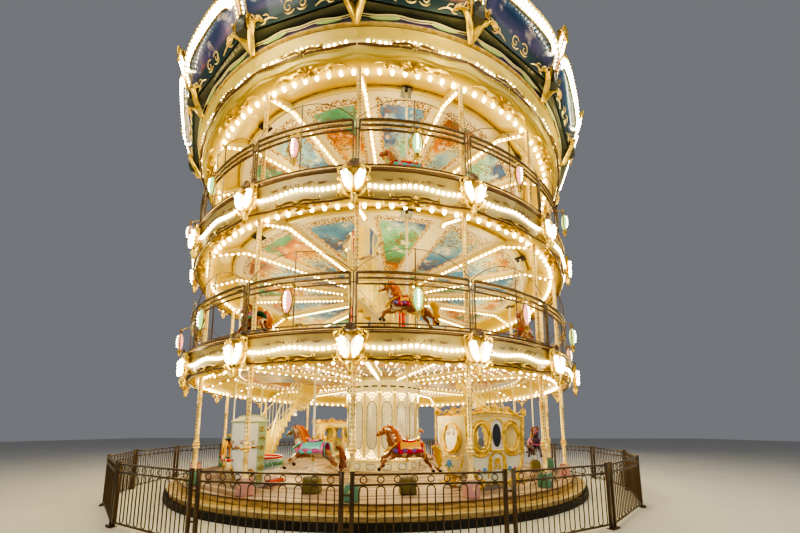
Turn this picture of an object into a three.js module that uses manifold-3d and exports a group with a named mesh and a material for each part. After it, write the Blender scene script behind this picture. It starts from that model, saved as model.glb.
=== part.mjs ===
// Three-storey fairground carousel with sixteen bays, its guard fence and its rides.
// Millimetres, +Z up. The origin is on the ground, on the axis that the turntable turns about.
// Azimuth 0 is towards -Y, and azimuths grow towards +X.

import * as THREE from "three";
import { mergeVertices } from "three/addons/utils/BufferGeometryUtils.js";
import Module from "manifold-3d";

const wasm = await Module();
wasm.setup();

// Bays and storeys
const BAYS = 16;
const BAY = (2 * Math.PI) / BAYS;
const RING_SIDES = 32;
const PLATFORM_TOP = 390;
const MIDDLE_DECK = 3600;
const UPPER_DECK = 6930;
const CORNICE_TOP = 10150;

// Radii
const DECK_R = 6200;
const PLATFORM_R = 6080;
const STEP_R = 6340;
const PLINTH_R = 6420;
const COLUMN_R = 5900;
const POLE_R = 5150;
const CORE_R = 1300;
const DECK_HOLE_R = 1390;
const SLEW_R = 1100;

// Base
const PLINTH_TOP = 140;
const STEP_TOP = 262;
const PLATFORM_UNDERSIDE = 300;
const RIM_BOTTOM = 270;
const RUNNING_GAP = 0.3;

// Decks and what hangs under them
const DECK_THICK = 120;
const BEAM_DEPTH = 150;
const BEAM_WIDTH = 120;
const FASCIA_DEPTH = 600;
const COVE_R = 5250;
const COVE_OUTER_R = 5790;
const CEILING_THICK = 40;
const SWEEP_DEPTH = 90;
const SWEEP_WIDTH = 80;
const SWEEP_OUTER = 5000;

// Railings
const RAIL_HEIGHT = 1100;
const RAIL_R = 6120;

// Fence
const FENCE_PANELS = 20;
const FENCE_R = 7530;
const FENCE_HEIGHT = 1100;
const FENCE_TURN = 0.031;
const FENCE_POST = 70;
const FENCE_BAR = 34;
const FENCE_FIELDS = 3;
const FENCE_LOW_RAIL = 95;
const FENCE_RING_RAIL = 960;
const FENCE_PER_NODE = 5;
const FENCE_GAP = 55;

// Crown
const BAND_TOP = 10330;
const BOARD_HEIGHT = 1050;
const BOARD_LEAN = 0.35;
const BOARD_R = 6420;
const ROOF_R = 6150;
const ROOF_APEX = 13100;
const FINIAL_TOP = 14600;

// Horses
const HORSE_MID = 1230;
const UPPER_HORSE_MID = 800;
const HORSE_WIDTH = 230;
const POLE_RADIUS = 24;
const POLE_FOOT_ROOM = 170;
const POLE_BORE = POLE_RADIUS + 0.4;
const RING_DEPTH = 80;
const SLEEVE_R = 45;
const SLEEVE_LENGTH = 450;
const SLEEVE_GRIP = 190;
const BOX_HEIGHT = 350;

// Colours
const cream = { color: 0xf0e3bd, roughness: 0.45, metalness: 0.0 };
const gold = { color: 0xd8ab3e, roughness: 0.3, metalness: 0.8 };
const paleGold = { color: 0xe6c77a, roughness: 0.4, metalness: 0.4 };
const darkBrown = { color: 0x4a3422, roughness: 0.5, metalness: 0.2 };
const blackPaint = { color: 0x1d1a17, roughness: 0.6, metalness: 0.1 };
const bronze = { color: 0x3a3026, roughness: 0.4, metalness: 0.6 };
const wood = { color: 0xb99a6b, roughness: 0.7, metalness: 0.0 };
const white = { color: 0xf3efe6, roughness: 0.4, metalness: 0.0 };
const canvas = { color: 0x7a1f24, roughness: 0.8, metalness: 0.0 };

const carousel = new THREE.Group();
carousel.name = "carousel";

// Gives a geometry shared corners, no flat triangles and faces that point out.
function closed(geometry) {
  const bare = geometry.clone();
  bare.deleteAttribute("normal");
  bare.deleteAttribute("uv");
  const merged = mergeVertices(bare, 0.001);
  const index = merged.index.array;
  const position = merged.attributes.position;
  const kept = [];
  const a = new THREE.Vector3();
  const b = new THREE.Vector3();
  const c = new THREE.Vector3();
  let volume = 0;
  for (let i = 0; i < index.length; i += 3) {
    const [p, q, r] = [index[i], index[i + 1], index[i + 2]];
    if (p === q || q === r || r === p) continue;
    kept.push([p, q, r]);
    a.fromBufferAttribute(position, p);
    b.fromBufferAttribute(position, q);
    c.fromBufferAttribute(position, r);
    volume += a.dot(b.cross(c));
  }
  const order = volume > 0 ? kept.flat() : kept.flatMap(([p, q, r]) => [p, r, q]);
  merged.setIndex(order);
  return merged;
}

function solid(geometry) {
  const shape = closed(geometry);
  return new wasm.Manifold(
    new wasm.Mesh({
      numProp: 3,
      vertProperties: new Float32Array(shape.attributes.position.array),
      triVerts: new Uint32Array(shape.index.array),
    }),
  );
}

function geometryOf(body) {
  const mesh = body.getMesh();
  const geometry = new THREE.BufferGeometry();
  geometry.setAttribute("position", new THREE.BufferAttribute(mesh.vertProperties, 3));
  geometry.setIndex(new THREE.BufferAttribute(mesh.triVerts, 1));
  return geometry;
}

function join(geometries) {
  return geometryOf(geometries.map(solid).reduce((sum, next) => sum.add(next)));
}

function cut(geometry, tools) {
  if (tools.length === 0) return geometry;
  return geometryOf(tools.map(solid).reduce((rest, tool) => rest.subtract(tool), solid(geometry)));
}

function add(name, geometry, look) {
  const shape = closed(geometry);
  shape.computeVertexNormals();
  const mesh = new THREE.Mesh(shape, new THREE.MeshStandardMaterial(look));
  mesh.name = name;
  carousel.add(mesh);
}

// A body turned about the axis. The profile is [radius, height] pairs, from axis to axis.
function turnedBody(profile, sides = RING_SIDES) {
  const points = profile.map(([radius, height]) => new THREE.Vector2(radius, height));
  return new THREE.LatheGeometry(points, sides).rotateX(Math.PI / 2);
}

// A ring about the axis. The profile's last point joins its first.
function ring(profile, sides = RING_SIDES) {
  return turnedBody([...profile, profile[0]], sides);
}

function ringBox(innerR, outerR, bottom, top, sides = RING_SIDES) {
  return ring(
    [
      [innerR, bottom],
      [outerR, bottom],
      [outerR, top],
      [innerR, top],
    ],
    sides,
  );
}

// A block whose lower face is at bottom, its outward side towards -Y.
function block(width, depth, height, x, y, bottom) {
  return new THREE.BoxGeometry(width, depth, height).translate(x, y, bottom + height / 2);
}

function turned(geometry, azimuth) {
  return geometry.clone().rotateZ(azimuth);
}

// Copies of a shape at each azimuth, start + step * i.
function around(geometry, count, start, step = BAY) {
  return Array.from({ length: count }, (_, i) => turned(geometry, start + step * i));
}

// A flat plate in the X-Z plane, its thickness centred on y.
function plate(shape, thickness, y) {
  return new THREE.ExtrudeGeometry(shape, {
    depth: thickness,
    bevelEnabled: false,
    curveSegments: 6,
  })
    .rotateX(Math.PI / 2)
    .translate(0, y + thickness / 2, 0);
}

function shapeOf(points) {
  return new THREE.Shape(points.map(([x, y]) => new THREE.Vector2(x, y)));
}

// The fixed base and the ring that the turntable turns on.

function makeBase() {
  add(
    "base_plinth",
    turnedBody([
      [0, 0],
      [PLINTH_R, 0],
      [PLINTH_R, PLINTH_TOP],
      [0, PLINTH_TOP],
    ]),
    blackPaint,
  );
  add(
    "base_step",
    turnedBody([
      [0, PLINTH_TOP],
      [STEP_R - 20, PLINTH_TOP],
      [STEP_R - 20, STEP_TOP - 25],
      [STEP_R, STEP_TOP - 20],
      [STEP_R, STEP_TOP],
      [0, STEP_TOP],
    ]),
    paleGold,
  );
  add(
    "slewing_ring",
    ringBox(SLEW_R - 300, SLEW_R, STEP_TOP, PLATFORM_UNDERSIDE - RUNNING_GAP, 24),
    bronze,
  );
}

// One fence panel: two end posts, three rails and some of its bars, as one welded frame.
function fencePanel() {
  const half = FENCE_R * Math.sin(Math.PI / FENCE_PANELS) - FENCE_GAP / 2 - 12;
  const inner = half - FENCE_POST;
  const y = -FENCE_R * Math.cos(Math.PI / FENCE_PANELS);
  const gap = (left, right, bottom, top) =>
    block(right - left, 200, top - bottom, (left + right) / 2, y, bottom);
  const gaps = [
    gap(-inner, inner, -50, FENCE_LOW_RAIL - 30),
    gap(-inner, inner, FENCE_RING_RAIL, FENCE_HEIGHT - 30),
  ];
  const width = (2 * inner - (FENCE_FIELDS - 1) * FENCE_BAR) / FENCE_FIELDS;
  for (let i = 0; i < FENCE_FIELDS; i++) {
    const left = -inner + i * (width + FENCE_BAR);
    gaps.push(gap(left, left + width, FENCE_LOW_RAIL, FENCE_RING_RAIL - 30));
  }
  return cut(block(2 * half, 40, FENCE_HEIGHT, 0, y, 0), gaps);
}

// A pair of spacers across a joint between panels, from one side of it to the other.
function spacers(from, to, azimuth) {
  return [350, 800].map((height) =>
    turned(block(to - from, 24, 24, (from + to) / 2, -FENCE_R + 22, height), azimuth),
  );
}

function makeFence() {
  const step = (2 * Math.PI) / FENCE_PANELS;
  const panel = fencePanel();
  const reach = FENCE_GAP / 2 + 45;
  for (let first = 0; first < FENCE_PANELS; first += FENCE_PER_NODE) {
    const start = FENCE_TURN + first * step;
    const parts = [...spacers(RUNNING_GAP / 2, reach, start)];
    for (let i = 0; i < FENCE_PER_NODE; i++) {
      const last = i === FENCE_PER_NODE - 1;
      parts.push(turned(panel, start + (i + 0.5) * step));
      parts.push(...spacers(-reach, last ? -RUNNING_GAP / 2 : reach, start + (i + 1) * step));
    }
    add(`fence_${first / FENCE_PER_NODE + 1}`, join(parts), bronze);
  }
}

// The platform, with the boxes that carry the columns and guide the horse poles.

const columnBox = block(230, 230, BOX_HEIGHT, 0, -COLUMN_R + 25, PLATFORM_TOP - 5);
const horseBox = block(300, 240, BOX_HEIGHT, 0, -POLE_R, PLATFORM_TOP - 5);
const poleBore = new THREE.CylinderGeometry(POLE_BORE, POLE_BORE, BOX_HEIGHT + 60, 6)
  .rotateX(Math.PI / 2)
  .translate(0, -POLE_R, PLATFORM_TOP + BOX_HEIGHT / 2 + 40);

// Stations at mid-bay on the platform, numbered from the bay right of azimuth 0.
const HORSE_STATIONS = [0, 3, 4, 7, 8, 11, 12, 15];
const COACH_STATIONS = [1, 9];
const CARRIAGE_STATIONS = [6, 14];
const GONDOLA_STATIONS = [5, 13];
const UPPER_STATIONS = [0, 2, 4, 6, 8, 10, 12, 14];
const COACH_R = 4950;
const COACH_WIDTH = 900;
const COACH_WALL = 40;
const CARRIAGE_R = 4850;
const GONDOLA_R = 4750;
const GONDOLA_WIDTH = 680;
const station = (i) => (i + 0.5) * BAY;

function makePlatform() {
  const disc = turnedBody([
    [0, PLATFORM_UNDERSIDE],
    [PLATFORM_R - 130, PLATFORM_UNDERSIDE],
    [PLATFORM_R - 110, RIM_BOTTOM],
    [PLATFORM_R, RIM_BOTTOM],
    [PLATFORM_R, PLATFORM_TOP],
    [0, PLATFORM_TOP],
  ]);
  const boxes = around(columnBox, BAYS, 0);
  for (const i of HORSE_STATIONS) boxes.push(turned(horseBox, station(i)));
  const bores = HORSE_STATIONS.map((i) => turned(poleBore, station(i)));
  add("platform", cut(join([disc, ...boxes]), bores), wood);
}

// Central drum on each storey.

function makeCore(name, bottom, top) {
  add(
    name,
    turnedBody(
      [
        [0, bottom],
        [CORE_R + 60, bottom],
        [CORE_R + 60, bottom + 280],
        [CORE_R, bottom + 330],
        [CORE_R, top - 260],
        [DECK_HOLE_R - RUNNING_GAP, top - 200],
        [DECK_HOLE_R - RUNNING_GAP, top],
        [0, top],
      ],
      BAYS,
    ),
    cream,
  );
}

// Columns with turned bases and heads, carrying a ring beam.

function makeColonnade(name, bottom, deckTop, turnedFoot) {
  const beamBottom = deckTop - DECK_THICK - BEAM_DEPTH;
  const height = beamBottom + 20 - bottom;
  const profile = turnedFoot
    ? [
        [0, 0],
        [70, 0],
        [115, 190],
        [55, 330],
        [55, height],
        [0, height],
      ]
    : [
        [0, 0],
        [50, 0],
        [50, height],
        [0, height],
      ];
  const column = turnedBody(profile, 6).translate(0, -COLUMN_R, bottom);
  const beam = ringBox(
    COLUMN_R - BEAM_WIDTH / 2,
    COLUMN_R + BEAM_WIDTH / 2,
    beamBottom,
    deckTop - DECK_THICK,
    BAYS,
  );
  add(name, join([beam, ...around(column, BAYS, 0)]), gold);
}

// Winding stairs, two to a storey. Each turns about a newel axis of its own, clockwise as it rises.

const STAIR_AXIS_R = 3300;
const STAIR_INNER = 550;
const STAIR_OUTER = 1300;
const STAIR_STEPS = 15;
const STAIR_START = -1.2;
const STAIR_SWEEP = -2.6;
const STAIR_AZIMUTH = -1.4;
const STAIR_LAP = 0.03;
const STAIR_THICK = 70;
const WELL_ROOM = 130;
const WELL_SHARE = 0.3;
const SEAT_GAP = 0.0006;

// An upright block with the plan of a ring's sector, about the origin.
function sector(innerR, outerR, from, to, bottom, top, arcs) {
  const at = (radius, i) => {
    const azimuth = from + ((to - from) * i) / arcs;
    return [radius * Math.sin(azimuth), -radius * Math.cos(azimuth)];
  };
  const steps = Array.from({ length: arcs + 1 }, (_, i) => i);
  const outer = steps.map((i) => at(outerR, i));
  const inner = steps.map((i) => at(innerR, arcs - i));
  const depth = top - bottom;
  return new THREE.ExtrudeGeometry(shapeOf([...outer, ...inner]), {
    depth,
    bevelEnabled: false,
  }).translate(0, 0, bottom);
}

// Puts a shape made about a newel axis where stair number side of a storey stands.
function atStair(geometry, storey, side) {
  const azimuth = STAIR_AZIMUTH + side * Math.PI + (storey * Math.PI) / 2;
  return geometry.clone().translate(0, -STAIR_AXIS_R, 0).rotateZ(azimuth);
}

const stepAngle = STAIR_SWEEP / STAIR_STEPS;
const stairStart = STAIR_START - STAIR_AZIMUTH;
const stairEnd = stairStart + stepAngle * (STAIR_STEPS - 1) - STAIR_LAP;

function stairFlight(bottom, top) {
  const rise = (top - bottom) / STAIR_STEPS;
  const treads = [];
  for (let i = 0; i < STAIR_STEPS - 1; i++) {
    const from = stairStart + i * stepAngle;
    const to = from + stepAngle - STAIR_LAP;
    const low = i === 0 ? bottom : bottom + i * rise - STAIR_THICK;
    treads.push(sector(STAIR_INNER, STAIR_OUTER, from, to, low, bottom + (i + 1) * rise, 1));
  }
  return join(treads);
}

function makeStairs(names, storey, bottom, top) {
  const flight = stairFlight(bottom, top);
  names.forEach((name, side) => add(name, atStair(flight, storey, side), cream));
}

// The openings that a storey's two stairs need in what is above them.
function wells(storey, bottom, top) {
  if (storey === null) return [];
  const from = stairStart + STAIR_SWEEP * WELL_SHARE;
  const to = stairEnd - SEAT_GAP;
  const well = sector(STAIR_INNER - WELL_ROOM, STAIR_OUTER + WELL_ROOM, from, to, bottom, top, 6);
  return [0, 1].map((side) => atStair(well, storey, side));
}

// Whether a rib at this azimuth would run across one of the storey's stairs.
function meetsStair(azimuth, storey) {
  if (storey === null) return false;
  const reach = STAIR_OUTER + WELL_ROOM + SWEEP_WIDTH;
  return [0, 1].some((side) => {
    const off = azimuth - (STAIR_AZIMUTH + side * Math.PI + (storey * Math.PI) / 2);
    return Math.cos(off) > 0 && Math.abs(Math.sin(off)) * STAIR_AXIS_R < reach;
  });
}

// Upper decks, ceilings, sweeps and fascias. The roof's storey number is null: no stair reaches it.

function ceilingUnder(deckTop) {
  return deckTop - DECK_THICK - CEILING_THICK;
}

function makeDeck(name, top, storey, look) {
  const slab = ring([
    [DECK_HOLE_R, top - DECK_THICK],
    [DECK_R - 40, top - DECK_THICK],
    [DECK_R, top - DECK_THICK + 40],
    [DECK_R, top],
    [DECK_HOLE_R, top],
  ]);
  add(name, cut(slab, wells(storey, top - DECK_THICK - 10, top + 10)), look);
}

function makeCeiling(name, deckTop, storey) {
  const top = deckTop - DECK_THICK;
  const bottom = top - CEILING_THICK;
  const low = deckTop - FASCIA_DEPTH + 70;
  const shell = ring([
    [DECK_HOLE_R, bottom],
    [COVE_R, bottom],
    [COVE_OUTER_R, low],
    [COVE_OUTER_R, low + 50],
    [COVE_R + 30, top],
    [DECK_HOLE_R, top],
  ]);
  add(name, cut(shell, wells(storey, low - 10, top + 10)), cream);
}

// Lit ribs under the ceiling, one to a corner, left out where a stair comes up.
function makeSweeps(name, deckTop, storey) {
  const top = ceilingUnder(deckTop);
  const bottom = top - SWEEP_DEPTH;
  const inner = DECK_HOLE_R + 40;
  const reach = SWEEP_OUTER - inner;
  const arm = block(SWEEP_WIDTH, reach, SWEEP_DEPTH, 0, -inner - reach / 2, bottom);
  const hub = ringBox(DECK_HOLE_R, DECK_HOLE_R + 100, bottom, top, BAYS);
  const clear = Array.from({ length: BAYS }, (_, i) => i * BAY).filter(
    (azimuth) => !meetsStair(azimuth, storey),
  );
  add(name, join([hub, ...clear.map((azimuth) => turned(arm, azimuth))]), paleGold);
}

function makeFascia(name, deckTop, flare) {
  const bottom = deckTop - FASCIA_DEPTH;
  const top = deckTop - DECK_THICK;
  add(
    name,
    ring([
      [DECK_R - 60, top],
      [DECK_R - 100, bottom],
      [DECK_R - 60, bottom],
      [DECK_R - 25 + flare * 0.3, top - 200],
      [DECK_R + flare, top],
    ]),
    paleGold,
  );
}

// Railings: a top and a bottom rail bent to the deck's edge, on posts at the corners.

function makeRailing(name, deckTop) {
  const rails = [110, RAIL_HEIGHT - 100].map((height) =>
    ringBox(RAIL_R - 25, RAIL_R + 25, deckTop + height, deckTop + height + 60).rotateZ(BAY / 4),
  );
  const posts = around(block(110, 40, RAIL_HEIGHT, 0, -RAIL_R, deckTop), BAYS, 0);
  add(name, join([...rails, ...posts]), bronze);
}

// Crown: band, leaning boards with arched tops on their foot, roof and finial.

const FOOT_TOP = BAND_TOP + 60;

function roundingBoard() {
  const half = BOARD_R * Math.tan(BAY / 2) - 30;
  const outline = shapeOf([
    [-half, 0],
    [half, 0],
    [half, BOARD_HEIGHT * 0.6],
    [half * 0.72, BOARD_HEIGHT * 0.86],
    [half * 0.3, BOARD_HEIGHT],
    [-half * 0.3, BOARD_HEIGHT],
    [-half * 0.72, BOARD_HEIGHT * 0.86],
    [-half, BOARD_HEIGHT * 0.6],
  ]);
  return plate(outline, 60, 0)
    .rotateX(BOARD_LEAN)
    .translate(0, -BOARD_R, FOOT_TOP - 15);
}

function makeCrown() {
  add("crown_band", ringBox(DECK_R - 160, DECK_R + 80, CORNICE_TOP, BAND_TOP), darkBrown);
  const cornerR = (BOARD_R + 40) / Math.cos(BAY / 2);
  const console = block(260, 200, 420, 0, -cornerR - 40, BAND_TOP - 60);
  const foot = ringBox(BOARD_R - 330, cornerR, BAND_TOP, FOOT_TOP, BAYS);
  const boards = around(roundingBoard(), BAYS, BAY / 2);
  add("rounding_boards", join([foot, ...boards, ...around(console, BAYS, 0)]), gold);
}

function makeRoof() {
  add(
    "roof_canopy",
    ring([
      [400, ROOF_APEX - 60],
      [3000, 11830],
      [ROOF_R - 60, FOOT_TOP],
      [ROOF_R, FOOT_TOP],
      [ROOF_R, FOOT_TOP + 60],
      [3000, 11900],
      [400, ROOF_APEX],
    ]),
    canvas,
  );
  add(
    "finial",
    turnedBody(
      [
        [0, ROOF_APEX - 400],
        [370, ROOF_APEX - 400],
        [370, ROOF_APEX],
        [520, ROOF_APEX],
        [520, ROOF_APEX + 90],
        [300, ROOF_APEX + 480],
        [90, ROOF_APEX + 620],
        [230, ROOF_APEX + 860],
        [60, ROOF_APEX + 1060],
        [0, FINIAL_TOP],
      ],
      BAYS,
    ),
    gold,
  );
}

// Rides

// Side view of a galloping horse, its head towards -X and its pole at x = 0.
const HORSE_OUTLINE = [
  [-600, 400],
  [-430, 350],
  [-330, 110],
  [-540, -230],
  [-490, -290],
  [-300, -100],
  [250, -110],
  [560, -360],
  [590, -290],
  [450, -80],
  [480, 60],
  [610, 20],
  [460, 200],
  [220, 190],
  [0, 150],
  [-180, 240],
  [-270, 480],
  [-430, 560],
];

function upright(radius, bottom, top, sides) {
  return new THREE.CylinderGeometry(radius, radius, top - bottom, sides)
    .rotateX(Math.PI / 2)
    .translate(0, -POLE_R, (top + bottom) / 2);
}

// A horse on its pole, at azimuth 0.
function horseOnPole(horseHeight, poleBottom, poleTop) {
  const body = plate(shapeOf(HORSE_OUTLINE), HORSE_WIDTH, -POLE_R).translate(0, 0, horseHeight);
  return join([body, upright(POLE_RADIUS, poleBottom, poleTop, 6)]);
}

// Each lower horse is free to rise and fall: its pole runs in the box under it
// and in a sleeve that hangs from the crank ring under the ceiling.
function makeLowerHorses() {
  const top = ceilingUnder(MIDDLE_DECK) - RING_DEPTH - SLEEVE_LENGTH + SLEEVE_GRIP;
  const horse = horseOnPole(HORSE_MID, PLATFORM_TOP + POLE_FOOT_ROOM, top);
  HORSE_STATIONS.forEach((place, i) => add(`horse_${i + 1}`, turned(horse, station(place)), white));
}

function crankRing(deckTop) {
  const top = ceilingUnder(deckTop);
  return ringBox(POLE_R - 40, POLE_R + 40, top - RING_DEPTH, top, BAYS).rotateZ(BAY / 2);
}

function makeCrankSleeves() {
  const top = ceilingUnder(MIDDLE_DECK) - RING_DEPTH;
  const sleeve = upright(SLEEVE_R, top - SLEEVE_LENGTH, top + 20, 6);
  const bore = upright(POLE_BORE, top - SLEEVE_LENGTH - 20, top - 20, 6);
  const sleeves = HORSE_STATIONS.map((place) => turned(sleeve, station(place)));
  const bores = HORSE_STATIONS.map((place) => turned(bore, station(place)));
  add("crank_sleeves", cut(join([crankRing(MIDDLE_DECK), ...sleeves]), bores), paleGold);
}

// The upper horses of a storey hang on one crank ring under the ceiling.
function makeUpperHorses(name, deckTop, nextDeck) {
  const top = ceilingUnder(nextDeck) - RING_DEPTH + 20;
  const horse = horseOnPole(deckTop + UPPER_HORSE_MID, deckTop, top);
  const horses = UPPER_STATIONS.map((place) => turned(horse, station(place)));
  add(name, join([crankRing(nextDeck), ...horses]), white);
}

// A hollow coach with a bench at each end, two oval windows a side and a doorway.
function makeCoaches() {
  const outline = new THREE.Shape();
  outline.moveTo(-620, 120);
  outline.quadraticCurveTo(0, -160, 620, 120);
  outline.quadraticCurveTo(900, 420, 900, 900);
  outline.lineTo(960, 1450);
  outline.quadraticCurveTo(0, 1640, -960, 1450);
  outline.lineTo(-900, 900);
  outline.quadraticCurveTo(-900, 420, -620, 120);
  const shell = plate(outline, COACH_WIDTH, 0).translate(0, 0, 160);
  const room = shapeOf([
    [-250, 300],
    [250, 300],
    [250, 720],
    [820, 720],
    [860, 1540],
    [-860, 1540],
    [-820, 720],
    [-250, 720],
  ]);
  const cabin = plate(room, COACH_WIDTH - 2 * COACH_WALL, 0);
  const windows = [-1, 1].map((side) =>
    new THREE.CylinderGeometry(250, 250, COACH_WIDTH + 100, 10)
      .scale(1, 1, 1.2)
      .translate(side * 470, 0, 1150),
  );
  const doorway = block(400, COACH_WALL + 60, 1150, 0, COACH_WIDTH / 2, 300);
  const frame = block(COACH_WIDTH, 500, 290, 0, 0, 0);
  const coach = cut(join([shell, frame]), [cabin, doorway, ...windows]);
  coach.translate(0, -COACH_R, PLATFORM_TOP);
  COACH_STATIONS.forEach((place, i) => add(`coach_${i + 1}`, turned(coach, station(place)), gold));
}

// A round open carriage with a high back.
function makeCarriages() {
  const tub = turnedBody(
    [
      [0, 0],
      [420, 0],
      [560, 450],
      [600, 1500],
      [560, 1500],
      [510, 480],
      [380, 60],
      [0, 60],
    ],
    12,
  ).translate(0, -CARRIAGE_R, PLATFORM_TOP);
  CARRIAGE_STATIONS.forEach((place, i) => add(`carriage_${i + 1}`, turned(tub, station(place)), white));
}

// A low boat: a floor with a bench across it, between two side boards with upswept ends.
function makeGondolas() {
  const floor = shapeOf([
    [-430, 0],
    [430, 0],
    [560, 260],
    [150, 260],
    [150, 420],
    [-150, 420],
    [-150, 260],
    [-560, 260],
  ]);
  const side = shapeOf([
    [-430, 0],
    [430, 0],
    [720, 520],
    [660, 560],
    [480, 460],
    [0, 430],
    [-480, 460],
    [-660, 560],
    [-720, 520],
  ]);
  const boards = [-1, 1].map((end) => plate(side, 40, -GONDOLA_R + (end * GONDOLA_WIDTH) / 2));
  const boat = join([plate(floor, GONDOLA_WIDTH, -GONDOLA_R), ...boards]).translate(0, 0, PLATFORM_TOP);
  GONDOLA_STATIONS.forEach((place, i) => add(`gondola_${i + 1}`, turned(boat, station(place)), white));
}

makeBase();
makeFence();
makePlatform();

makeCore("core_lower", PLATFORM_TOP, MIDDLE_DECK);
makeCore("core_middle", MIDDLE_DECK, UPPER_DECK);
makeCore("core_upper", UPPER_DECK, CORNICE_TOP);

makeColonnade("columns_lower", PLATFORM_TOP - 5 + BOX_HEIGHT, MIDDLE_DECK, true);
makeColonnade("columns_middle", MIDDLE_DECK, UPPER_DECK, false);
makeColonnade("columns_upper", UPPER_DECK, CORNICE_TOP, false);

makeStairs(["stair_lower_1", "stair_lower_2"], 0, PLATFORM_TOP, MIDDLE_DECK);
makeStairs(["stair_upper_1", "stair_upper_2"], 1, MIDDLE_DECK, UPPER_DECK);

makeDeck("deck_middle", MIDDLE_DECK, 0, darkBrown);
makeDeck("deck_upper", UPPER_DECK, 1, darkBrown);
makeDeck("roof_deck", CORNICE_TOP, null, cream);

makeSweeps("sweeps_lower", MIDDLE_DECK, 0);
makeSweeps("sweeps_middle", UPPER_DECK, 1);
makeSweeps("sweeps_upper", CORNICE_TOP, null);

makeCeiling("ceiling_lower", MIDDLE_DECK, 0);
makeCeiling("ceiling_middle", UPPER_DECK, 1);
makeCeiling("ceiling_upper", CORNICE_TOP, null);

makeFascia("fascia_middle", MIDDLE_DECK, 20);
makeFascia("fascia_upper", UPPER_DECK, 20);
makeFascia("cornice", CORNICE_TOP, 110);

makeRailing("railing_middle", MIDDLE_DECK);
makeRailing("railing_upper", UPPER_DECK);

makeCrown();
makeRoof();

makeCrankSleeves();
makeLowerHorses();
makeUpperHorses("horses_middle", MIDDLE_DECK, UPPER_DECK);
makeUpperHorses("horses_upper", UPPER_DECK, CORNICE_TOP);
makeCoaches();
makeCarriages();
makeGondolas();

export default carousel;
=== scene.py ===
# %% [markdown]
# # A three-storey fairground carousel
# This notebook dresses the bare construction of a lit Venetian-style carousel: sixteen bays, three
# storeys of painted ceilings and gilded rims, a guard fence, galloping horses and thousands of bulbs.
# The construction comes in first and stays where it is. Every piece below is measured from it.

import math

import bpy
import numpy as np
from mathutils import Matrix, Vector


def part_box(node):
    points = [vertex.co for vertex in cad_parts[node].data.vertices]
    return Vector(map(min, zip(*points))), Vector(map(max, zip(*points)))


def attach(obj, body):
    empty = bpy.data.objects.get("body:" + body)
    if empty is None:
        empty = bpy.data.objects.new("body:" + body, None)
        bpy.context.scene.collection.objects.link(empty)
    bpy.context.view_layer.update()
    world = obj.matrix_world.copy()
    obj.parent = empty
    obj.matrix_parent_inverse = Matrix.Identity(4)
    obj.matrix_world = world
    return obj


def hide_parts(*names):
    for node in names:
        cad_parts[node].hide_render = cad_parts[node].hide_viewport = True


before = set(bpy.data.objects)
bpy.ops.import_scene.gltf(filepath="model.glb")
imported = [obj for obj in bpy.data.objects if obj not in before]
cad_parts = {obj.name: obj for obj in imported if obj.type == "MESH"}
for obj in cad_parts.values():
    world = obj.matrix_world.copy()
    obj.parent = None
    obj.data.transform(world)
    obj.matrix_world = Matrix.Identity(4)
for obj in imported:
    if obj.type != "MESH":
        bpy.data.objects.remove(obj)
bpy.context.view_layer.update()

BAYS = 16
TRIM_SIDES, RING_SIDES, VALANCE_SIDES = 160, 128, 192
BAY = 2 * math.pi / BAYS
CORNERS = [i * BAY for i in range(BAYS)]
MID_BAYS = [(i + 0.5) * BAY for i in range(BAYS)]
FLOOR_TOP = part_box("core_lower")[0][2]
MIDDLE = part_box("deck_middle")[1][2]
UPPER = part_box("deck_upper")[1][2]
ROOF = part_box("roof_deck")[1][2]
DECK_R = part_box("deck_middle")[1][0]
COLUMN_R = 5.9
POLE_R = 5.15
RAIL_R = 6.12
CORE_R = 1.3
STOREYS = {"lower": (FLOOR_TOP, MIDDLE), "middle": (MIDDLE, UPPER), "upper": (UPPER, ROOF)}
print("decks at", round(FLOOR_TOP, 2), round(MIDDLE, 2), round(UPPER, 2), round(ROOF, 2))

# %% [markdown]
# ## Camera
# The photo was taken from eye height, close to the fence, with a wide lens tilted up a little.
# A wide lens near a round building gives the barrel shape of the storeys, so its place matters more
# than its zoom. The lens is shifted up rather than tilted further, which keeps the columns upright.

# %% The camera
CAMERA_DISTANCE = 12.18
CAMERA_AZIMUTH = 0.096
CAMERA_HEIGHT = 1.69
CAMERA_TILT = 0.132
CAMERA_TURN = 0.045
LENS_MM = 14.87
LENS_SHIFT = 0.15

bpy.ops.object.camera_add(
    location=(
        CAMERA_DISTANCE * math.sin(CAMERA_AZIMUTH),
        -CAMERA_DISTANCE * math.cos(CAMERA_AZIMUTH),
        CAMERA_HEIGHT,
    ),
    rotation=(math.pi / 2 + CAMERA_TILT, 0, CAMERA_TURN),
)
camera = bpy.context.object
camera.data.lens = LENS_MM
camera.data.sensor_width = 36
camera.data.shift_y = LENS_SHIFT
bpy.context.scene.camera = camera

# %% [markdown]
# ## Helpers
# A fairground front repeats a few mouldings hundreds of times. So each shape is modelled once, at the
# front of the ride, and a helper copies it to its places. Operators act on all that is selected, so
# every helper starts by selecting nothing.


# %% Selecting
MERGE_WITHIN = 0.00002


def select_only(*objects):
    if bpy.context.object and bpy.context.object.mode != "OBJECT":
        bpy.ops.object.mode_set(mode="OBJECT")
    bpy.ops.object.select_all(action="DESELECT")
    for obj in objects:
        obj.select_set(True)
    if objects:
        bpy.context.view_layer.objects.active = objects[0]


def edit(obj):
    select_only(obj)
    bpy.ops.object.mode_set(mode="EDIT")
    bpy.ops.mesh.select_all(action="SELECT")


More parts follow.
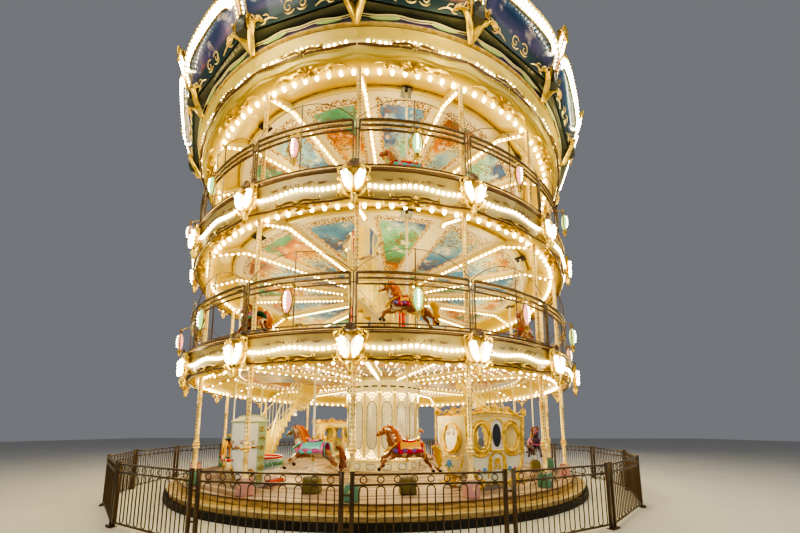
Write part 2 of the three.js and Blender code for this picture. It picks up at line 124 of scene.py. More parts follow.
def done(name, angle=40):
    """Leaves edit mode with doubles merged and faces outwards, and gives the piece its name."""
    bpy.ops.mesh.select_all(action="SELECT")
    bpy.ops.mesh.remove_doubles(threshold=MERGE_WITHIN)
    bpy.ops.mesh.normals_make_consistent(inside=False)
    bpy.ops.object.mode_set(mode="OBJECT")
    obj = bpy.context.object
    obj.name = name
    obj.data.name = name
    bpy.ops.object.shade_smooth_by_angle(angle=math.radians(angle))
    return obj


def apply_modifier(obj, kind, **settings):
    select_only(obj)
    modifier = obj.modifiers.new(kind.title(), kind)
    for key, value in settings.items():
        setattr(modifier, key, value)
    bpy.ops.object.modifier_apply(modifier=modifier.name)
    return obj


# %% [markdown]
# A turner and a blacksmith both start from a line. `line` draws one by extruding a single vertex;
# `turned` spins it about the ride's axis, and `plate` fills it and gives it a thickness.


# %% Lines, turned shapes and plates
def line(points):
    """A chain of vertices through the points, left in edit mode."""
    select_only()
    bpy.ops.mesh.primitive_plane_add(size=0.01, location=(0, 0, 0))
    bpy.ops.object.mode_set(mode="EDIT")
    bpy.ops.mesh.merge(type="CENTER")
    bpy.ops.transform.translate(value=points[0])
    for start, end in zip(points, points[1:]):
        step = tuple(b - a for a, b in zip(start, end))
        bpy.ops.mesh.extrude_vertices_move(TRANSFORM_OT_translate={"value": step})


def turned(name, profile, sides=96, angle=40):
    """A body turned about the axis from a profile of (radius, height)."""
    line([(radius, 0, height) for radius, height in profile])
    bpy.ops.mesh.select_all(action="SELECT")
    bpy.ops.mesh.spin(steps=sides, angle=2 * math.pi, center=(0, 0, 0), axis=(0, 0, 1))
    return done(name, angle)


def closed(profile):
    return profile + profile[:1]


def plate(name, outline, thickness, bevel=0.0):
    """A flat plate in the X-Z plane, its back on Y = 0 and its front towards -Y."""
    line([(x, 0, z) for x, z in outline])
    bpy.ops.mesh.select_all(action="SELECT")
    bpy.ops.mesh.edge_face_add()
    bpy.ops.mesh.extrude_region_move(TRANSFORM_OT_translate={"value": (0, -thickness, 0)})
    obj = done(name)
    if bevel:
        apply_modifier(obj, "BEVEL", width=bevel, segments=1, limit_method="ANGLE")
    return obj


def cross_cut(obj, axis, places):
    """Cuts right through a straight piece at those places along an axis, so that it can bend there."""
    normal = [1 if i == axis else 0 for i in range(3)]
    edit(obj)
    for place in places:
        bpy.ops.mesh.select_all(action="SELECT")
        bpy.ops.mesh.bisect(plane_co=[place * value for value in normal], plane_no=normal)
    return done(obj.name)


def block(name, size, centre):
    """A plain box of that size about its centre."""
    select_only()
    bpy.ops.mesh.primitive_cube_add(size=1, location=centre)
    obj = bpy.context.object
    obj.name = name
    obj.scale = size
    bpy.ops.object.transform_apply(location=True, rotation=True, scale=True)
    return obj


def bar(name, size, centre, bevel=0.004):
    """A bar or box with its edges rounded."""
    return apply_modifier(block(name, size, centre), "BEVEL", width=bevel, segments=1)


def from_lists(name, corners, edges, faces):
    """An object with a mesh built from lists of corners, edges and faces."""
    mesh = bpy.data.meshes.new(name)
    mesh.from_pydata(corners, edges, faces)
    obj = bpy.data.objects.new(name, mesh)
    bpy.context.collection.objects.link(obj)
    return obj


def tube(name, points, radius, sides=6, loop=False, swell=None):
    """A bent rod through the points. swell gives the rod's width at each point, as a share."""
    curve = bpy.data.curves.new(name, "CURVE")
    curve.dimensions = "3D"
    spline = curve.splines.new("POLY")
    spline.points.add(len(points) - 1)
    for i, point in enumerate(points):
        spline.points[i].co = (*point, 1)
        spline.points[i].radius = swell[i] if swell else 1
    spline.use_cyclic_u = loop
    curve.bevel_depth = radius
    curve.bevel_resolution = max(0, sides // 2 - 2)
    curve.use_fill_caps = not loop
    obj = bpy.data.objects.new(name, curve)
    bpy.context.collection.objects.link(obj)
    select_only(obj)
    bpy.ops.object.convert(target="MESH")
    obj = bpy.context.object
    bpy.ops.object.shade_smooth_by_angle(angle=math.radians(60))
    return obj


# %% [markdown]
# Copies are joined into one mesh as they are made. Each copy still has vertices of its own, and a rim
# of three hundred bulbs stays one piece that is easy to name, to colour and to hang on its body.


# %% Copies
def copies(name, seed, places):
    """One mesh with the seed's mesh at each place, a 4x4 matrix. The seed is used up."""
    mesh = seed.data
    count, total = len(places), len(mesh.vertices)
    corners = np.empty(total * 3)
    mesh.vertices.foreach_get("co", corners)
    corners = np.c_[corners.reshape(-1, 3), np.ones(total)]
    loops = np.empty(len(mesh.loops), dtype=np.int32)
    mesh.loops.foreach_get("vertex_index", loops)
    faces = len(mesh.polygons)
    starts = np.empty(faces, dtype=np.int32)
    looks = np.empty(faces, dtype=np.int32)
    mesh.polygons.foreach_get("loop_start", starts)
    mesh.polygons.foreach_get("material_index", looks)
    moved = np.concatenate([(corners @ np.array(place).T)[:, :3] for place in places])
    steps = np.arange(count)[:, None]
    built = bpy.data.meshes.new(name)
    built.vertices.add(total * count)
    built.vertices.foreach_set("co", moved.ravel())
    built.loops.add(len(loops) * count)
    built.loops.foreach_set("vertex_index", (loops[None, :] + steps * total).ravel())
    built.polygons.add(faces * count)
    built.polygons.foreach_set("loop_start", (starts[None, :] + steps * len(loops)).ravel())
    built.polygons.foreach_set("material_index", np.tile(looks, count))
    built.update(calc_edges=True)
    for material in mesh.materials:
        built.materials.append(material)
    obj = bpy.data.objects.new(name, built)
    bpy.context.collection.objects.link(obj)
    bpy.data.objects.remove(seed)
    select_only(obj)
    bpy.ops.object.shade_smooth_by_angle(angle=math.radians(45))
    return obj


def turn(azimuth):
    return Matrix.Rotation(azimuth, 4, "Z")


def at_rim(radius, azimuth, height, tilt=0.0):
    """The place of a shape modelled about the origin, facing -Y, once it stands on a rim."""
    return turn(azimuth) @ offset(0, -radius, height) @ Matrix.Rotation(tilt, 4, "X")


def offset(x, y, z):
    return Matrix.Translation((x, y, z))


def every_bay(height):
    """The places of a shape that is already at its radius, at the middle of every bay."""
    return [turn(azimuth) @ offset(0, 0, height) for azimuth in MID_BAYS]


def round_rim(radius, height, azimuths, tilt=0.0):
    return [at_rim(radius, azimuth, height, tilt) for azimuth in azimuths]


def moved(obj, matrix):
    obj.data.transform(matrix)
    if matrix.determinant() < 0:
        obj.data.flip_normals()
    return obj


def joined(name, *objects):
    select_only(*objects)
    bpy.ops.object.join()
    obj = bpy.context.object
    obj.name = name
    obj.data.name = name
    return obj


def twin(obj, matrix):
    """A copy with a mesh of its own, at another place."""
    other = obj.copy()
    other.data = obj.data.copy()
    bpy.context.collection.objects.link(other)
    return moved(other, matrix)


MIRROR = Matrix.Scale(-1, 4, (1, 0, 0))


def bent_round(obj, radius):
    """Bends a shape modelled flat, across X and facing -Y, round a rim of that radius."""
    count = len(obj.data.vertices)
    flat = np.empty(count * 3)
    obj.data.vertices.foreach_get("co", flat)
    x, y, z = flat.reshape(-1, 3).T
    reach = radius - y
    azimuth = x / radius
    obj.data.vertices.foreach_set("co", np.c_[reach * np.sin(azimuth), -reach * np.cos(azimuth), z].ravel())
    obj.data.update()
    return obj


def bulb(radius):
    """A lamp bulb with a few faces, since thousands are used."""
    select_only()
    bpy.ops.mesh.primitive_uv_sphere_add(segments=6, ring_count=4, radius=radius)
    edit(bpy.context.object)
    return done("bulb")


# %% [markdown]
# ## Finishes
# Fairground paint is gloss enamel over primer, brushed by hand, touched up each winter and dusty in
# the hollows. Two shader groups hold that once: `enamel_wear` shifts a colour and its shine slowly over
# the surface, and `leaf_gold` mottles gold leaf. The shaders themselves stay in each material.


# %% Shader groups
def new_group(name, inputs, outputs):
    group = bpy.data.node_groups.new(name, "ShaderNodeTree")
    for label, kind, value in inputs:
        socket = group.interface.new_socket(name=label, in_out="INPUT", socket_type=kind)
        if value is not None:
            socket.default_value = value
    for label, kind in outputs:
        group.interface.new_socket(name=label, in_out="OUTPUT", socket_type=kind)
    start = group.nodes.new("NodeGroupInput")
    end = group.nodes.new("NodeGroupOutput")
    return group, start, end


def plug(tree, target, values):
    """Links inputs to sockets and sets them to constants, with an alpha of 1 for a colour."""
    for key, value in values.items():
        if isinstance(value, bpy.types.NodeSocket):
            tree.links.new(value, target.inputs[key])
        elif target.inputs[key].type == "RGBA":
            target.inputs[key].default_value = (*value[:3], 1)
        else:
            target.inputs[key].default_value = value


def node(tree, kind, values=None, **settings):
    made = tree.nodes.new(kind)
    for key, value in settings.items():
        setattr(made, key, value)
    plug(tree, made, values or {})
    return made


def maths(tree, operation, *values):
    return node(tree, "ShaderNodeMath", dict(enumerate(values)), operation=operation).outputs[0]


def times(tree, a, b):
    return node(tree, "ShaderNodeMath", {0: a, 1: b}, operation="MULTIPLY").outputs[0]


def plus(tree, a, b):
    return node(tree, "ShaderNodeMath", {0: a, 1: b}, operation="ADD").outputs[0]


def minus(tree, a, b):
    return node(tree, "ShaderNodeMath", {0: a, 1: b}, operation="SUBTRACT").outputs[0]


def off_from(tree, value, centre):
    """How far a value is from a centre, on either side."""
    return maths(tree, "ABSOLUTE", minus(tree, value, centre))


def where(tree):
    return node(tree, "ShaderNodeTexCoord").outputs["Object"]


def apart(tree):
    """The three coordinates of a point, as numbers."""
    return list(node(tree, "ShaderNodeSeparateXYZ", {0: where(tree)}).outputs)


def noise(tree, scale, detail, place=None):
    """Soft noise, on the piece's own coordinates unless another place is given."""
    values = {"Vector": place or where(tree), "Scale": scale, "Detail": detail}
    return node(tree, "ShaderNodeTexNoise", values).outputs[0]


def cells(tree, scale):
    """The distance to the middle of the nearest of many uneven cells."""
    return node(tree, "ShaderNodeTexVoronoi", {"Vector": where(tree), "Scale": scale}).outputs["Distance"]


def white_noise(tree, key):
    """A value that jumps from one whole number to the next."""
    return node(tree, "ShaderNodeTexWhiteNoise", {"W": key}, noise_dimensions="1D").outputs[0]


def blended(tree, share, first, second, how="MIX"):
    values = {0: share, 6: first, 7: second}
    return node(tree, "ShaderNodeMix", values, data_type="RGBA", blend_type=how).outputs[2]


def banded(tree, value, low, high, from_low=0.0, from_high=1.0):
    """A value squeezed to a smooth step between from_low and from_high."""
    values = {0: value, 1: from_low, 2: from_high, 3: low, 4: high}
    return node(tree, "ShaderNodeMapRange", values, interpolation_type="SMOOTHSTEP").outputs[0]


COLOUR, NUMBER, VECTOR = "NodeSocketColor", "NodeSocketFloat", "NodeSocketVector"

wear, start, end = new_group(
    "enamel_wear",
    [
        ("Place", VECTOR, None), ("Paint", COLOUR, (1, 1, 1, 1)), ("Shift", NUMBER, 0.12),
        ("Shine", NUMBER, 0.35),
    ],
    [("Paint", COLOUR), ("Roughness", NUMBER), ("Height", NUMBER)],
)
place = start.outputs["Place"]
slow = noise(wear, 1.7, 3.0, place)
brush = noise(wear, 38.0, 2.0, place)
speck = noise(wear, 160.0, 1.0, place)
low = minus(wear, 1.0, start.outputs["Shift"])
tone = banded(wear, slow, low, 1.0, 0.3, 0.7)
worn = blended(wear, 1.0, start.outputs["Paint"], tone, "MULTIPLY")
dusty = banded(wear, speck, 0.0, 0.18, 0.62, 0.8)
worn = blended(wear, dusty, worn, (0.42, 0.36, 0.28))
wear.links.new(worn, end.inputs["Paint"])
rough = plus(wear, start.outputs["Shine"], times(wear, brush, 0.12))
wear.links.new(rough, end.inputs["Roughness"])
wear.links.new(plus(wear, brush, times(wear, speck, 0.3)), end.inputs["Height"])

leaf, start, end = new_group(
    "leaf_gold",
    [("Place", VECTOR, None), ("Light", COLOUR, (1, 0.8, 0.4, 1)), ("Deep", COLOUR, (0.6, 0.3, 0.05, 1))],
    [("Paint", COLOUR), ("Roughness", NUMBER), ("Height", NUMBER)],
)
place = start.outputs["Place"]
cloud = noise(leaf, 9.0, 4.0, place)
crease = node(leaf, "ShaderNodeTexVoronoi", {"Vector": place, "Scale": 55.0}).outputs["Distance"]
share = banded(leaf, cloud, 0.0, 0.75, 0.42, 0.68)
leaf.links.new(blended(leaf, share, start.outputs["Light"], start.outputs["Deep"]), end.inputs["Paint"])
leaf.links.new(plus(leaf, 0.22, times(leaf, cloud, 0.25)), end.inputs["Roughness"])
leaf.links.new(plus(leaf, crease, cloud), end.inputs["Height"])
print("shader groups", [g.name for g in bpy.data.node_groups])


# %% [markdown]
# Each finish below is a material of its own with a Principled shader. Colours were judged against the
# photo, where warm bulbs light everything: creams read as butter yellow and gilding as deep amber.


# %% Paints and metals
def new_material(name):
    material = bpy.data.materials.new(name)
    material.use_nodes = True
    tree = material.node_tree
    return material, tree, tree.nodes["Principled BSDF"]


def bumped(tree, shader, height, strength, distance):
    bump = node(tree, "ShaderNodeBump", {"Height": height, "Strength": strength, "Distance": distance})
    tree.links.new(bump.outputs[0], shader.inputs["Normal"])


def weathered(tree, shader, group, values, strength, distance, glow=0.0):
    """Runs a paint through one of the shader groups and on to the shader, with any glow as painted light.
    """
    worn = node(tree, "ShaderNodeGroup", {"Place": where(tree), **values}, node_tree=group).outputs
    plug(tree, shader, {"Base Color": worn["Paint"], "Roughness": worn["Roughness"]})
    bumped(tree, shader, worn["Height"], strength, distance)
    if glow:
        plug(tree, shader, {"Emission Color": worn["Paint"], "Emission Strength": glow})


def enamel(name, paint, shine=0.32, metallic=0.0, shift=0.14, coat=0.3, glow=0.0):
    material, tree, shader = new_material(name)
    plug(tree, shader, {"Metallic": metallic, "Coat Weight": coat})
    weathered(tree, shader, wear, {"Paint": paint, "Shift": shift, "Shine": shine}, 0.12, 0.002, glow)
    return material


def gilding(name, light, deep, metallic=0.75, glow=0.0):
    material, tree, shader = new_material(name)
    plug(tree, shader, {"Metallic": metallic})
    weathered(tree, shader, leaf, {"Light": light, "Deep": deep}, 0.25, 0.003, glow)
    return material


def lit(name, colour, strength):
    """Glowing glass with the bulb behind it, and the painted glow of the drum fans and pilaster strips."""
    material, tree, shader = new_material(name)
    glow = {"Emission Color": colour, "Emission Strength": strength}
    plug(tree, shader, {"Base Color": colour, "Roughness": 0.2, **glow})
    return material


# A glow below makes the finish give off light of its own: a painted glow standing in for the bulbs' light
# on it.
cream = enamel("butter_cream_enamel", (0.78, 0.65, 0.24), glow=0.04)
pale_cream = enamel("pale_cream_enamel", (0.84, 0.72, 0.36), glow=0.03)
cove_yellow = enamel("cove_yellow_enamel", (0.78, 0.58, 0.13), glow=0.08)
moulding_brown = enamel("moulding_brown_enamel", (0.16, 0.085, 0.04), shine=0.25)
# The skirt's near-black is its own dark paint together with painted shade under the step.
skirt_black = enamel("skirt_black_paint_and_shade", (0.012, 0.010, 0.009), shine=0.5, coat=0.0)
fence_bronze = enamel("fence_bronze_paint", (0.125, 0.078, 0.036), shine=0.28, metallic=0.55)
rail_bronze = enamel("rail_bronze_paint", (0.24, 0.17, 0.10), shine=0.22, metallic=0.5)
leaf_green = enamel("leaf_green_enamel", (0.42, 0.62, 0.24))
rose_enamel = enamel("rose_enamel", (0.66, 0.34, 0.32))
sea_green = enamel("sea_green_enamel", (0.13, 0.30, 0.19))
olive_enamel = enamel("olive_enamel", (0.19, 0.15, 0.035))
panel_white = enamel("panel_white_enamel", (0.80, 0.78, 0.71), shine=0.18)
signal_red = enamel("signal_red_enamel", (0.62, 0.03, 0.03), shine=0.2)
gold = gilding("bright_gilding", (0.95, 0.68, 0.18), (0.38, 0.22, 0.04), glow=0.02)
old_gold = gilding("deep_gilding", (0.62, 0.42, 0.12), (0.20, 0.11, 0.03))
straw_gold = gilding("straw_gilding", (1.0, 0.76, 0.32), (0.70, 0.40, 0.09), metallic=0.45, glow=0.05)
warm_bulb = lit("warm_bulb_glass", (1.0, 0.85, 0.42), 15.0)
soft_bulb = lit("soft_bulb_glass", (1.0, 0.82, 0.40), 7.0)
white_bulb = lit("white_bulb_glass", (1.0, 0.92, 0.62), 15.0)
pink_glass = lit("pink_lamp_glass", (0.95, 0.42, 0.40), 0.9)
green_glass = lit("green_lamp_glass", (0.42, 0.80, 0.36), 0.8)
dark_bead = enamel("dark_bead_enamel", (0.10, 0.07, 0.04), shine=0.2)
print("finishes", len(bpy.data.materials))


# %% Dressing a piece
def paint(obj, material):
    obj.data.materials.clear()
    obj.data.materials.append(material)
    return obj


def repaint(name, material):
    """A construction node keeps its shape and gets a new finish."""
    paint(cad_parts[name], material)


def ride_as_is(piece, body="turntable"):
    """Gives a painted piece the body that it moves with."""
    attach(piece, body)
    return piece


def dress(piece, material, body="turntable"):
    """Gives a finished piece its material and its body."""
    return ride_as_is(paint(piece, material), body)


def spread(name, seed, places, material, slot="gold_paint"):
    """Copies of a seed at those places, dressed as one piece that turns with the platform."""
    return dress(copies(name, seed, places), material)


# %% [markdown]
# ## Base and platform
# The ride stands on a dark skirt with a painted riser above it, and the platform turns just clear of
# that. The construction has these as many-sided discs. Turned trims with far more sides are laid
# round them, the way a fitter bends flat strip round a base, so that no corner shows from the fence.

# %% Skirt, riser and platform rim
skirt = turned(
    "skirt_strip",
    closed([(6.36, 0.001), (6.428, 0.001), (6.428, 0.137), (6.36, 0.142)]),
    TRIM_SIDES,
)
dress(skirt, skirt_black, "base")
repaint("base_plinth", skirt_black)

RISER_JOINTS = 24


def striped_round(tree, count, width):
    """A mask of thin lines that run straight up, count of them round the ride."""
    x, y, _ = apart(tree)
    share = maths(tree, "FRACT", times(tree, maths(tree, "ARCTAN2", x, y), count / (2 * math.pi)))
    return banded(tree, off_from(tree, share, 0.5), 0.0, 1.0, 0.5 - width, 0.5)


def riser_paint():
    material, tree, shader = new_material("riser_streaked_paint")
    joints = striped_round(tree, RISER_JOINTS, 0.012)
    stretched = node(tree, "ShaderNodeMapping", {0: where(tree), "Scale": (1.3, 1.3, 14.0)}).outputs[0]
    streaks = noise(tree, 3.0, 4.0, stretched)
    share = banded(tree, streaks, 0.0, 1.0, 0.35, 0.7)
    paint_colour = blended(tree, share, (0.70, 0.50, 0.21), (0.40, 0.25, 0.09))
    paint_colour = blended(tree, joints, paint_colour, (0.16, 0.09, 0.03))
    roughness = plus(tree, 0.3, times(tree, share, 0.25))
    plug(tree, shader, {"Base Color": paint_colour, "Roughness": roughness})
    bumped(tree, shader, minus(tree, streaks, joints), 0.3, 0.004)
    return material


riser = turned(
    "riser_strip",
    closed([(6.28, 0.138), (6.332, 0.138), (6.334, 0.226), (6.35, 0.232), (6.352, 0.262), (6.28, 0.266)]),
    TRIM_SIDES,
)
riser_streaked = riser_paint()
dress(riser, riser_streaked, "base")
repaint("base_step", riser_streaked)
ledge = turned(
    "riser_ledge",
    closed([(6.345, 0.236), (6.362, 0.240), (6.362, 0.258), (6.345, 0.262)]),
    TRIM_SIDES,
)
dress(ledge, pale_cream, "base")
repaint("slewing_ring", fence_bronze)

rim = turned(
    "platform_rim",
    closed(
        [
            (6.02, 0.272), (6.086, 0.272), (6.092, 0.36), (6.075, 0.366), (6.10, 0.376),
            (6.10, 0.392), (6.02, 0.392),
        ]
    ),
    TRIM_SIDES,
)
dress(rim, riser_streaked)
rim_edge = turned(
    "platform_rim_bead",
    closed([(6.09, 0.372), (6.112, 0.374), (6.112, 0.394), (6.07, 0.397)]),
    TRIM_SIDES,
)
dress(rim_edge, moulding_brown)
print("platform rim", round(rim.dimensions.x, 2), "m across")

# %% [markdown]
# The floor is laid in sixteen sections, one to a bay, and the boards of a section all run square to
# its middle line. The pattern needs no picture: each point's angle says which section it is in, and
# the distance along that section's middle says which board.


# %% Boarded floor
def polar(tree):
    """A point's radius, its bay's number and its place across the bay, from 0 to 1."""
    x, y, _ = apart(tree)
    radius = maths(tree, "SQRT", plus(tree, times(tree, x, x), times(tree, y, y)))
    turns = maths(tree, "DIVIDE", maths(tree, "ARCTAN2", x, times(tree, y, -1.0)), BAY)
    return radius, maths(tree, "FLOOR", turns), maths(tree, "FRACT", turns)


def picked(tree, first, second):
    """A value of its own for each pair of whole numbers."""
    key = node(tree, "ShaderNodeCombineXYZ", {0: first, 1: second}).outputs[0]
    return node(tree, "ShaderNodeTexWhiteNoise", {"Vector": key}).outputs["Value"]


BOARD_WIDTH = 0.145


def floor_boards(name, light, dark, joint):
    material, tree, shader = new_material(name)
    radius, bay, place = polar(tree)
    off = times(tree, minus(tree, place, 0.5), BAY)
    along = times(tree, radius, maths(tree, "COSINE", off))
    across = times(tree, radius, maths(tree, "SINE", off))
    row = maths(tree, "DIVIDE", along, BOARD_WIDTH)
    gap = banded(tree, off_from(tree, maths(tree, "FRACT", row), 0.5), 0.0, 1.0, 0.47, 0.5)
    tint = picked(tree, maths(tree, "FLOOR", row), bay)
    stretched = {0: times(tree, across, 1.5), 1: times(tree, along, 30.0), 2: tint}
    grain = noise(tree, 2.0, 4.0, node(tree, "ShaderNodeCombineXYZ", stretched).outputs[0])
    share = banded(tree, plus(tree, times(tree, tint, 0.5), times(tree, grain, 0.7)), 0.0, 1.0, 0.38, 0.86)
    wood = blended(tree, gap, blended(tree, share, light, dark), joint)
    plug(tree, shader, {"Base Color": wood, "Roughness": plus(tree, 0.35, times(tree, grain, 0.3))})
    bumped(tree, shader, minus(tree, times(tree, grain, 0.3), gap), 0.4, 0.004)
    return material


platform_light, platform_dark, platform_joint = (0.62, 0.50, 0.42), (0.21, 0.12, 0.09), (0.03, 0.02, 0.012)
repaint("platform", floor_boards("platform_boards", platform_light, platform_dark, platform_joint))
deck_boards = floor_boards("deck_boards", (0.50, 0.34, 0.19), (0.28, 0.17, 0.09), (0.05, 0.03, 0.02))
for name in ("deck_middle", "deck_upper"):
    repaint(name, deck_boards)
repaint("roof_deck", pale_cream)

# %% [markdown]
# ## Guard fence
# Twenty welded panels stand round the ride. In each, one long bar winds up and down: round arches
# join its tops and U-bends its feet. A ring sits over each arch, between the two top rails.
# One panel is made flat, as a smith would on the bench, and then set up twenty times.

# %% One fence panel
FENCE_R = 7.53
PANELS = 20
FENCE_TURN = 0.031
PANEL_HALF = FENCE_R * math.sin(math.pi / PANELS) - 0.0395
PANEL_INNER = PANEL_HALF - 0.07
PANEL_DISTANCE = FENCE_R * math.cos(math.pi / PANELS)
ARCHES = 9
ARCH_PITCH = 2 * PANEL_INNER / ARCHES
ARCH_HALF = ARCH_PITCH / 4
TOP_RAIL, MID_RAIL, LOW_RAIL = 1.085, 0.945, 0.08
RING_HEIGHT = (TOP_RAIL + MID_RAIL) / 2
ARCH_TOP, BEND_FOOT = 0.93, 0.095


def bend(centre_x, centre_z, half, up, segments=5):
    """The points of a half-round bend, from left to right, over or under its centre."""
    turned_by = [math.pi * (1 - i / segments) for i in range(segments + 1)]
    return [(centre_x + half * math.cos(a), 0, centre_z + up * half * math.sin(a)) for a in turned_by]


def winding_bar():
    """The long bar that arches up and bends down all along a panel."""
    points = [(-PANEL_INNER + ARCH_HALF, 0, LOW_RAIL)]
    for i in range(ARCHES):
        middle = -PANEL_INNER + (i + 0.5) * ARCH_PITCH
        points += bend(middle, ARCH_TOP - ARCH_HALF, ARCH_HALF, 1)
        if i < ARCHES - 1:
            points += bend(middle + ARCH_PITCH / 2, BEND_FOOT + ARCH_HALF, ARCH_HALF, -1)
    points.append((PANEL_INNER - ARCH_HALF, 0, LOW_RAIL))
    return tube("winding_bar", points, 0.0095, 4)


def fence_rings():
    """A ring over each arch, between the two top rails."""
    select_only()
    bpy.ops.mesh.primitive_torus_add(
        major_radius=0.047,
        minor_radius=0.0075,
        major_segments=12,
        minor_segments=4,
        rotation=(math.pi / 2, 0, 0),
    )
    ring_seed = bpy.context.object
    bpy.ops.object.transform_apply(location=False, rotation=True, scale=False)
    middles = [-PANEL_INNER + (i + 0.5) * ARCH_PITCH for i in range(ARCHES)]
    return copies("fence_rings", ring_seed, [offset(x, 0, RING_HEIGHT) for x in middles])


def fence_post(side):
    """A post at one end of a panel, with its cap, foot and bolt."""
    x = side * (PANEL_HALF - 0.035)
    post = bar("post", (0.062, 0.04, 1.115), (x, 0, 0.5575), 0.005)
    cap = bar("cap", (0.078, 0.056, 0.018), (x, 0, 1.121), 0.006)
    foot = bar("foot", (0.12, 0.12, 0.012), (x, -0.01, 0.008), 0.003)
    bolt = bar("bolt", (0.024, 0.024, 0.02), (x + side * 0.012, -0.05, 0.024), 0.006)
    return [post, cap, foot, bolt]


rails = [
    bar("rail", (2 * PANEL_HALF - 0.02, 0.036, 0.03), (0, 0, TOP_RAIL), 0.006),
    bar("rail", (2 * PANEL_INNER + 0.02, 0.028, 0.028), (0, 0, MID_RAIL), 0.005),
    bar("rail", (2 * PANEL_INNER + 0.02, 0.03, 0.03), (0, 0, LOW_RAIL), 0.005),
]
panel = joined("fence_panel", winding_bar(), fence_rings(), *rails, *fence_post(-1), *fence_post(1))
print("fence panel", round(panel.dimensions.x, 3), "m long,", len(panel.data.polygons), "faces")

# %% The fence round the ride
ties = joined(
    "fence_ties",
    *[bar("tie", (0.10, 0.02, 0.026), (0, -0.002, height), 0.004) for height in (0.362, 0.812)],
)
PANEL_STEP = 2 * math.pi / PANELS
for quarter in range(4):
    first = 5 * quarter
    seed = panel if quarter == 3 else twin(panel, Matrix.Identity(4))
    places = [at_rim(PANEL_DISTANCE, FENCE_TURN + (first + i + 0.5) * PANEL_STEP, 0) for i in range(5)]
    run = copies(f"fence_run_{quarter + 1}", seed, places)
    tie_seed = ties if quarter == 3 else twin(ties, Matrix.Identity(4))
    tie_places = [at_rim(FENCE_R - 0.026, FENCE_TURN + (first + i) * PANEL_STEP, 0) for i in range(5)]
    run = joined(f"fence_run_{quarter + 1}", run, copies("fence_ties", tie_seed, tie_places))
    dress(run, fence_bronze, "base")
    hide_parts(f"fence_{quarter + 1}")

# %% [markdown]
# ## Columns
# Slender turned columns stand at the bay corners on every storey. They are wood or steel tube sheathed
# in cream and gold, with two strings of dark beads up the front. Each is one turning, repeated
# sixteen times. A ring beam, hidden in the real ride behind the fascia, joins their heads.


# %% Columns, ring beams and beads
def column_profile(height, foot):
    head = [(0.055, height - 0.34), (0.075, height - 0.31), (0.055, height - 0.27), (0.06, height - 0.12)]
    head += [(0.10, height - 0.03), (0.11, height), (0, height)]
    if not foot:
        low = [(0, 0), (0.085, 0), (0.085, 0.04), (0.06, 0.08), (0.07, 0.13), (0.05, 0.17)]
        middle = [(0.05, height * 0.48), (0.066, height * 0.49), (0.05, height * 0.5)]
        return low + middle + head
    low = [
        (0, 0), (0.07, 0), (0.115, 0.19), (0.105, 0.24), (0.06, 0.30), (0.055, 0.34), (0.07, 0.36),
        (0.048, 0.39),
    ]
    collar = [
        (0.048, 0.86), (0.075, 0.88), (0.062, 0.91), (0.085, 0.95), (0.062, 0.99), (0.072, 1.02),
        (0.048, 1.05),
    ]
    ring_at = [(0.048, height * 0.66), (0.065, height * 0.67), (0.048, height * 0.68)]
    return low + collar + ring_at + head


BEAD_PITCH = 0.085


def colonnade(storey, foot):
    """The columns of a storey, tall-footed on the ground floor, with their ring beam and beads."""
    bottom, top = STOREYS[storey]
    beam_low, beam_high = top - 0.27, top - 0.12
    height = beam_low - bottom
    column = turned("column", column_profile(height, foot), 12)
    columns = copies(f"colonnade_{storey}", column, round_rim(COLUMN_R, bottom, CORNERS))
    beam = turned(
        "beam",
        closed([(5.835, beam_low), (5.965, beam_low), (5.965, beam_high), (5.835, beam_high)]),
        RING_SIDES,
    )
    columns = joined(f"colonnade_{storey}", columns, beam)
    dress(columns, straw_gold)
    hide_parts(f"columns_{storey}")
    first_bead = 1.1 if foot else 0.22
    levels = [first_bead + i * BEAD_PITCH for i in range(int((height - 0.5) / BEAD_PITCH))]
    on_column = [turn(side) @ offset(0, -0.052, 0) for side in (-0.8, 0.8)]
    bead_places = [
        at_rim(COLUMN_R, azimuth, bottom + level) @ spot
        for azimuth in CORNERS
        for level in levels
        if level < height - 0.36
        for spot in on_column
    ]
    select_only()
    bpy.ops.mesh.primitive_cube_add(size=0.018)
    bead = bpy.context.object
    edit(bead)
    bpy.ops.transform.resize(value=(0.8, 0.5, 1.6))
    strings = copies(f"column_beads_{storey}", done("bead"), bead_places)
    dress(strings, dark_bead)
    return columns


for storey in STOREYS:
    made = colonnade(storey, storey == "lower")
    print(made.name, len(made.data.polygons), "faces")

# %% [markdown]
# ## Boxes on the platform
# Coloured boxes with soft round tops stand under the columns, and olive ones under the horse poles.
# Each is a box pulled in at the waist and crowned on top, a little larger than the construction's own.


# %% Platform boxes
def soft_box(name, width, depth, height):
    """A box with a crowned top and a foot that spreads a little."""
    edit(block(name, (width, depth, height), (0, 0, height / 2)))
    bpy.ops.mesh.bisect(plane_co=(0, 0, height * 0.86), plane_no=(0, 0, 1))
    bpy.ops.mesh.select_all(action="SELECT")
    bpy.ops.mesh.bisect(plane_co=(0, 0, 0.03), plane_no=(0, 0, 1))
    made = done(name)
    for vertex in made.data.vertices:
        if vertex.co.z > height * 0.95:
            vertex.co.x *= 0.72
            vertex.co.y *= 0.72
        elif vertex.co.z < 0.04:
            vertex.co.x *= 1.06
            vertex.co.y *= 1.06
    return apply_modifier(made, "BEVEL", width=0.03, segments=3, limit_method="ANGLE")


HORSE_STATIONS = [0, 3, 4, 7, 8, 11, 12, 15]
for i, finish in enumerate((sea_green, rose_enamel)):
    places = [at_rim(COLUMN_R - 0.025, CORNERS[k], FLOOR_TOP) for k in range(i, BAYS, 2)]
    boxes = copies(f"column_boxes_{i + 1}", soft_box("column_box", 0.25, 0.25, 0.36), places)
    dress(boxes, finish)
under_horses = copies(
    "horse_boxes",
    soft_box("horse_box", 0.33, 0.27, 0.36),
    [at_rim(POLE_R, MID_BAYS[k], FLOOR_TOP) for k in HORSE_STATIONS],
)
dress(under_horses, olive_enamel)

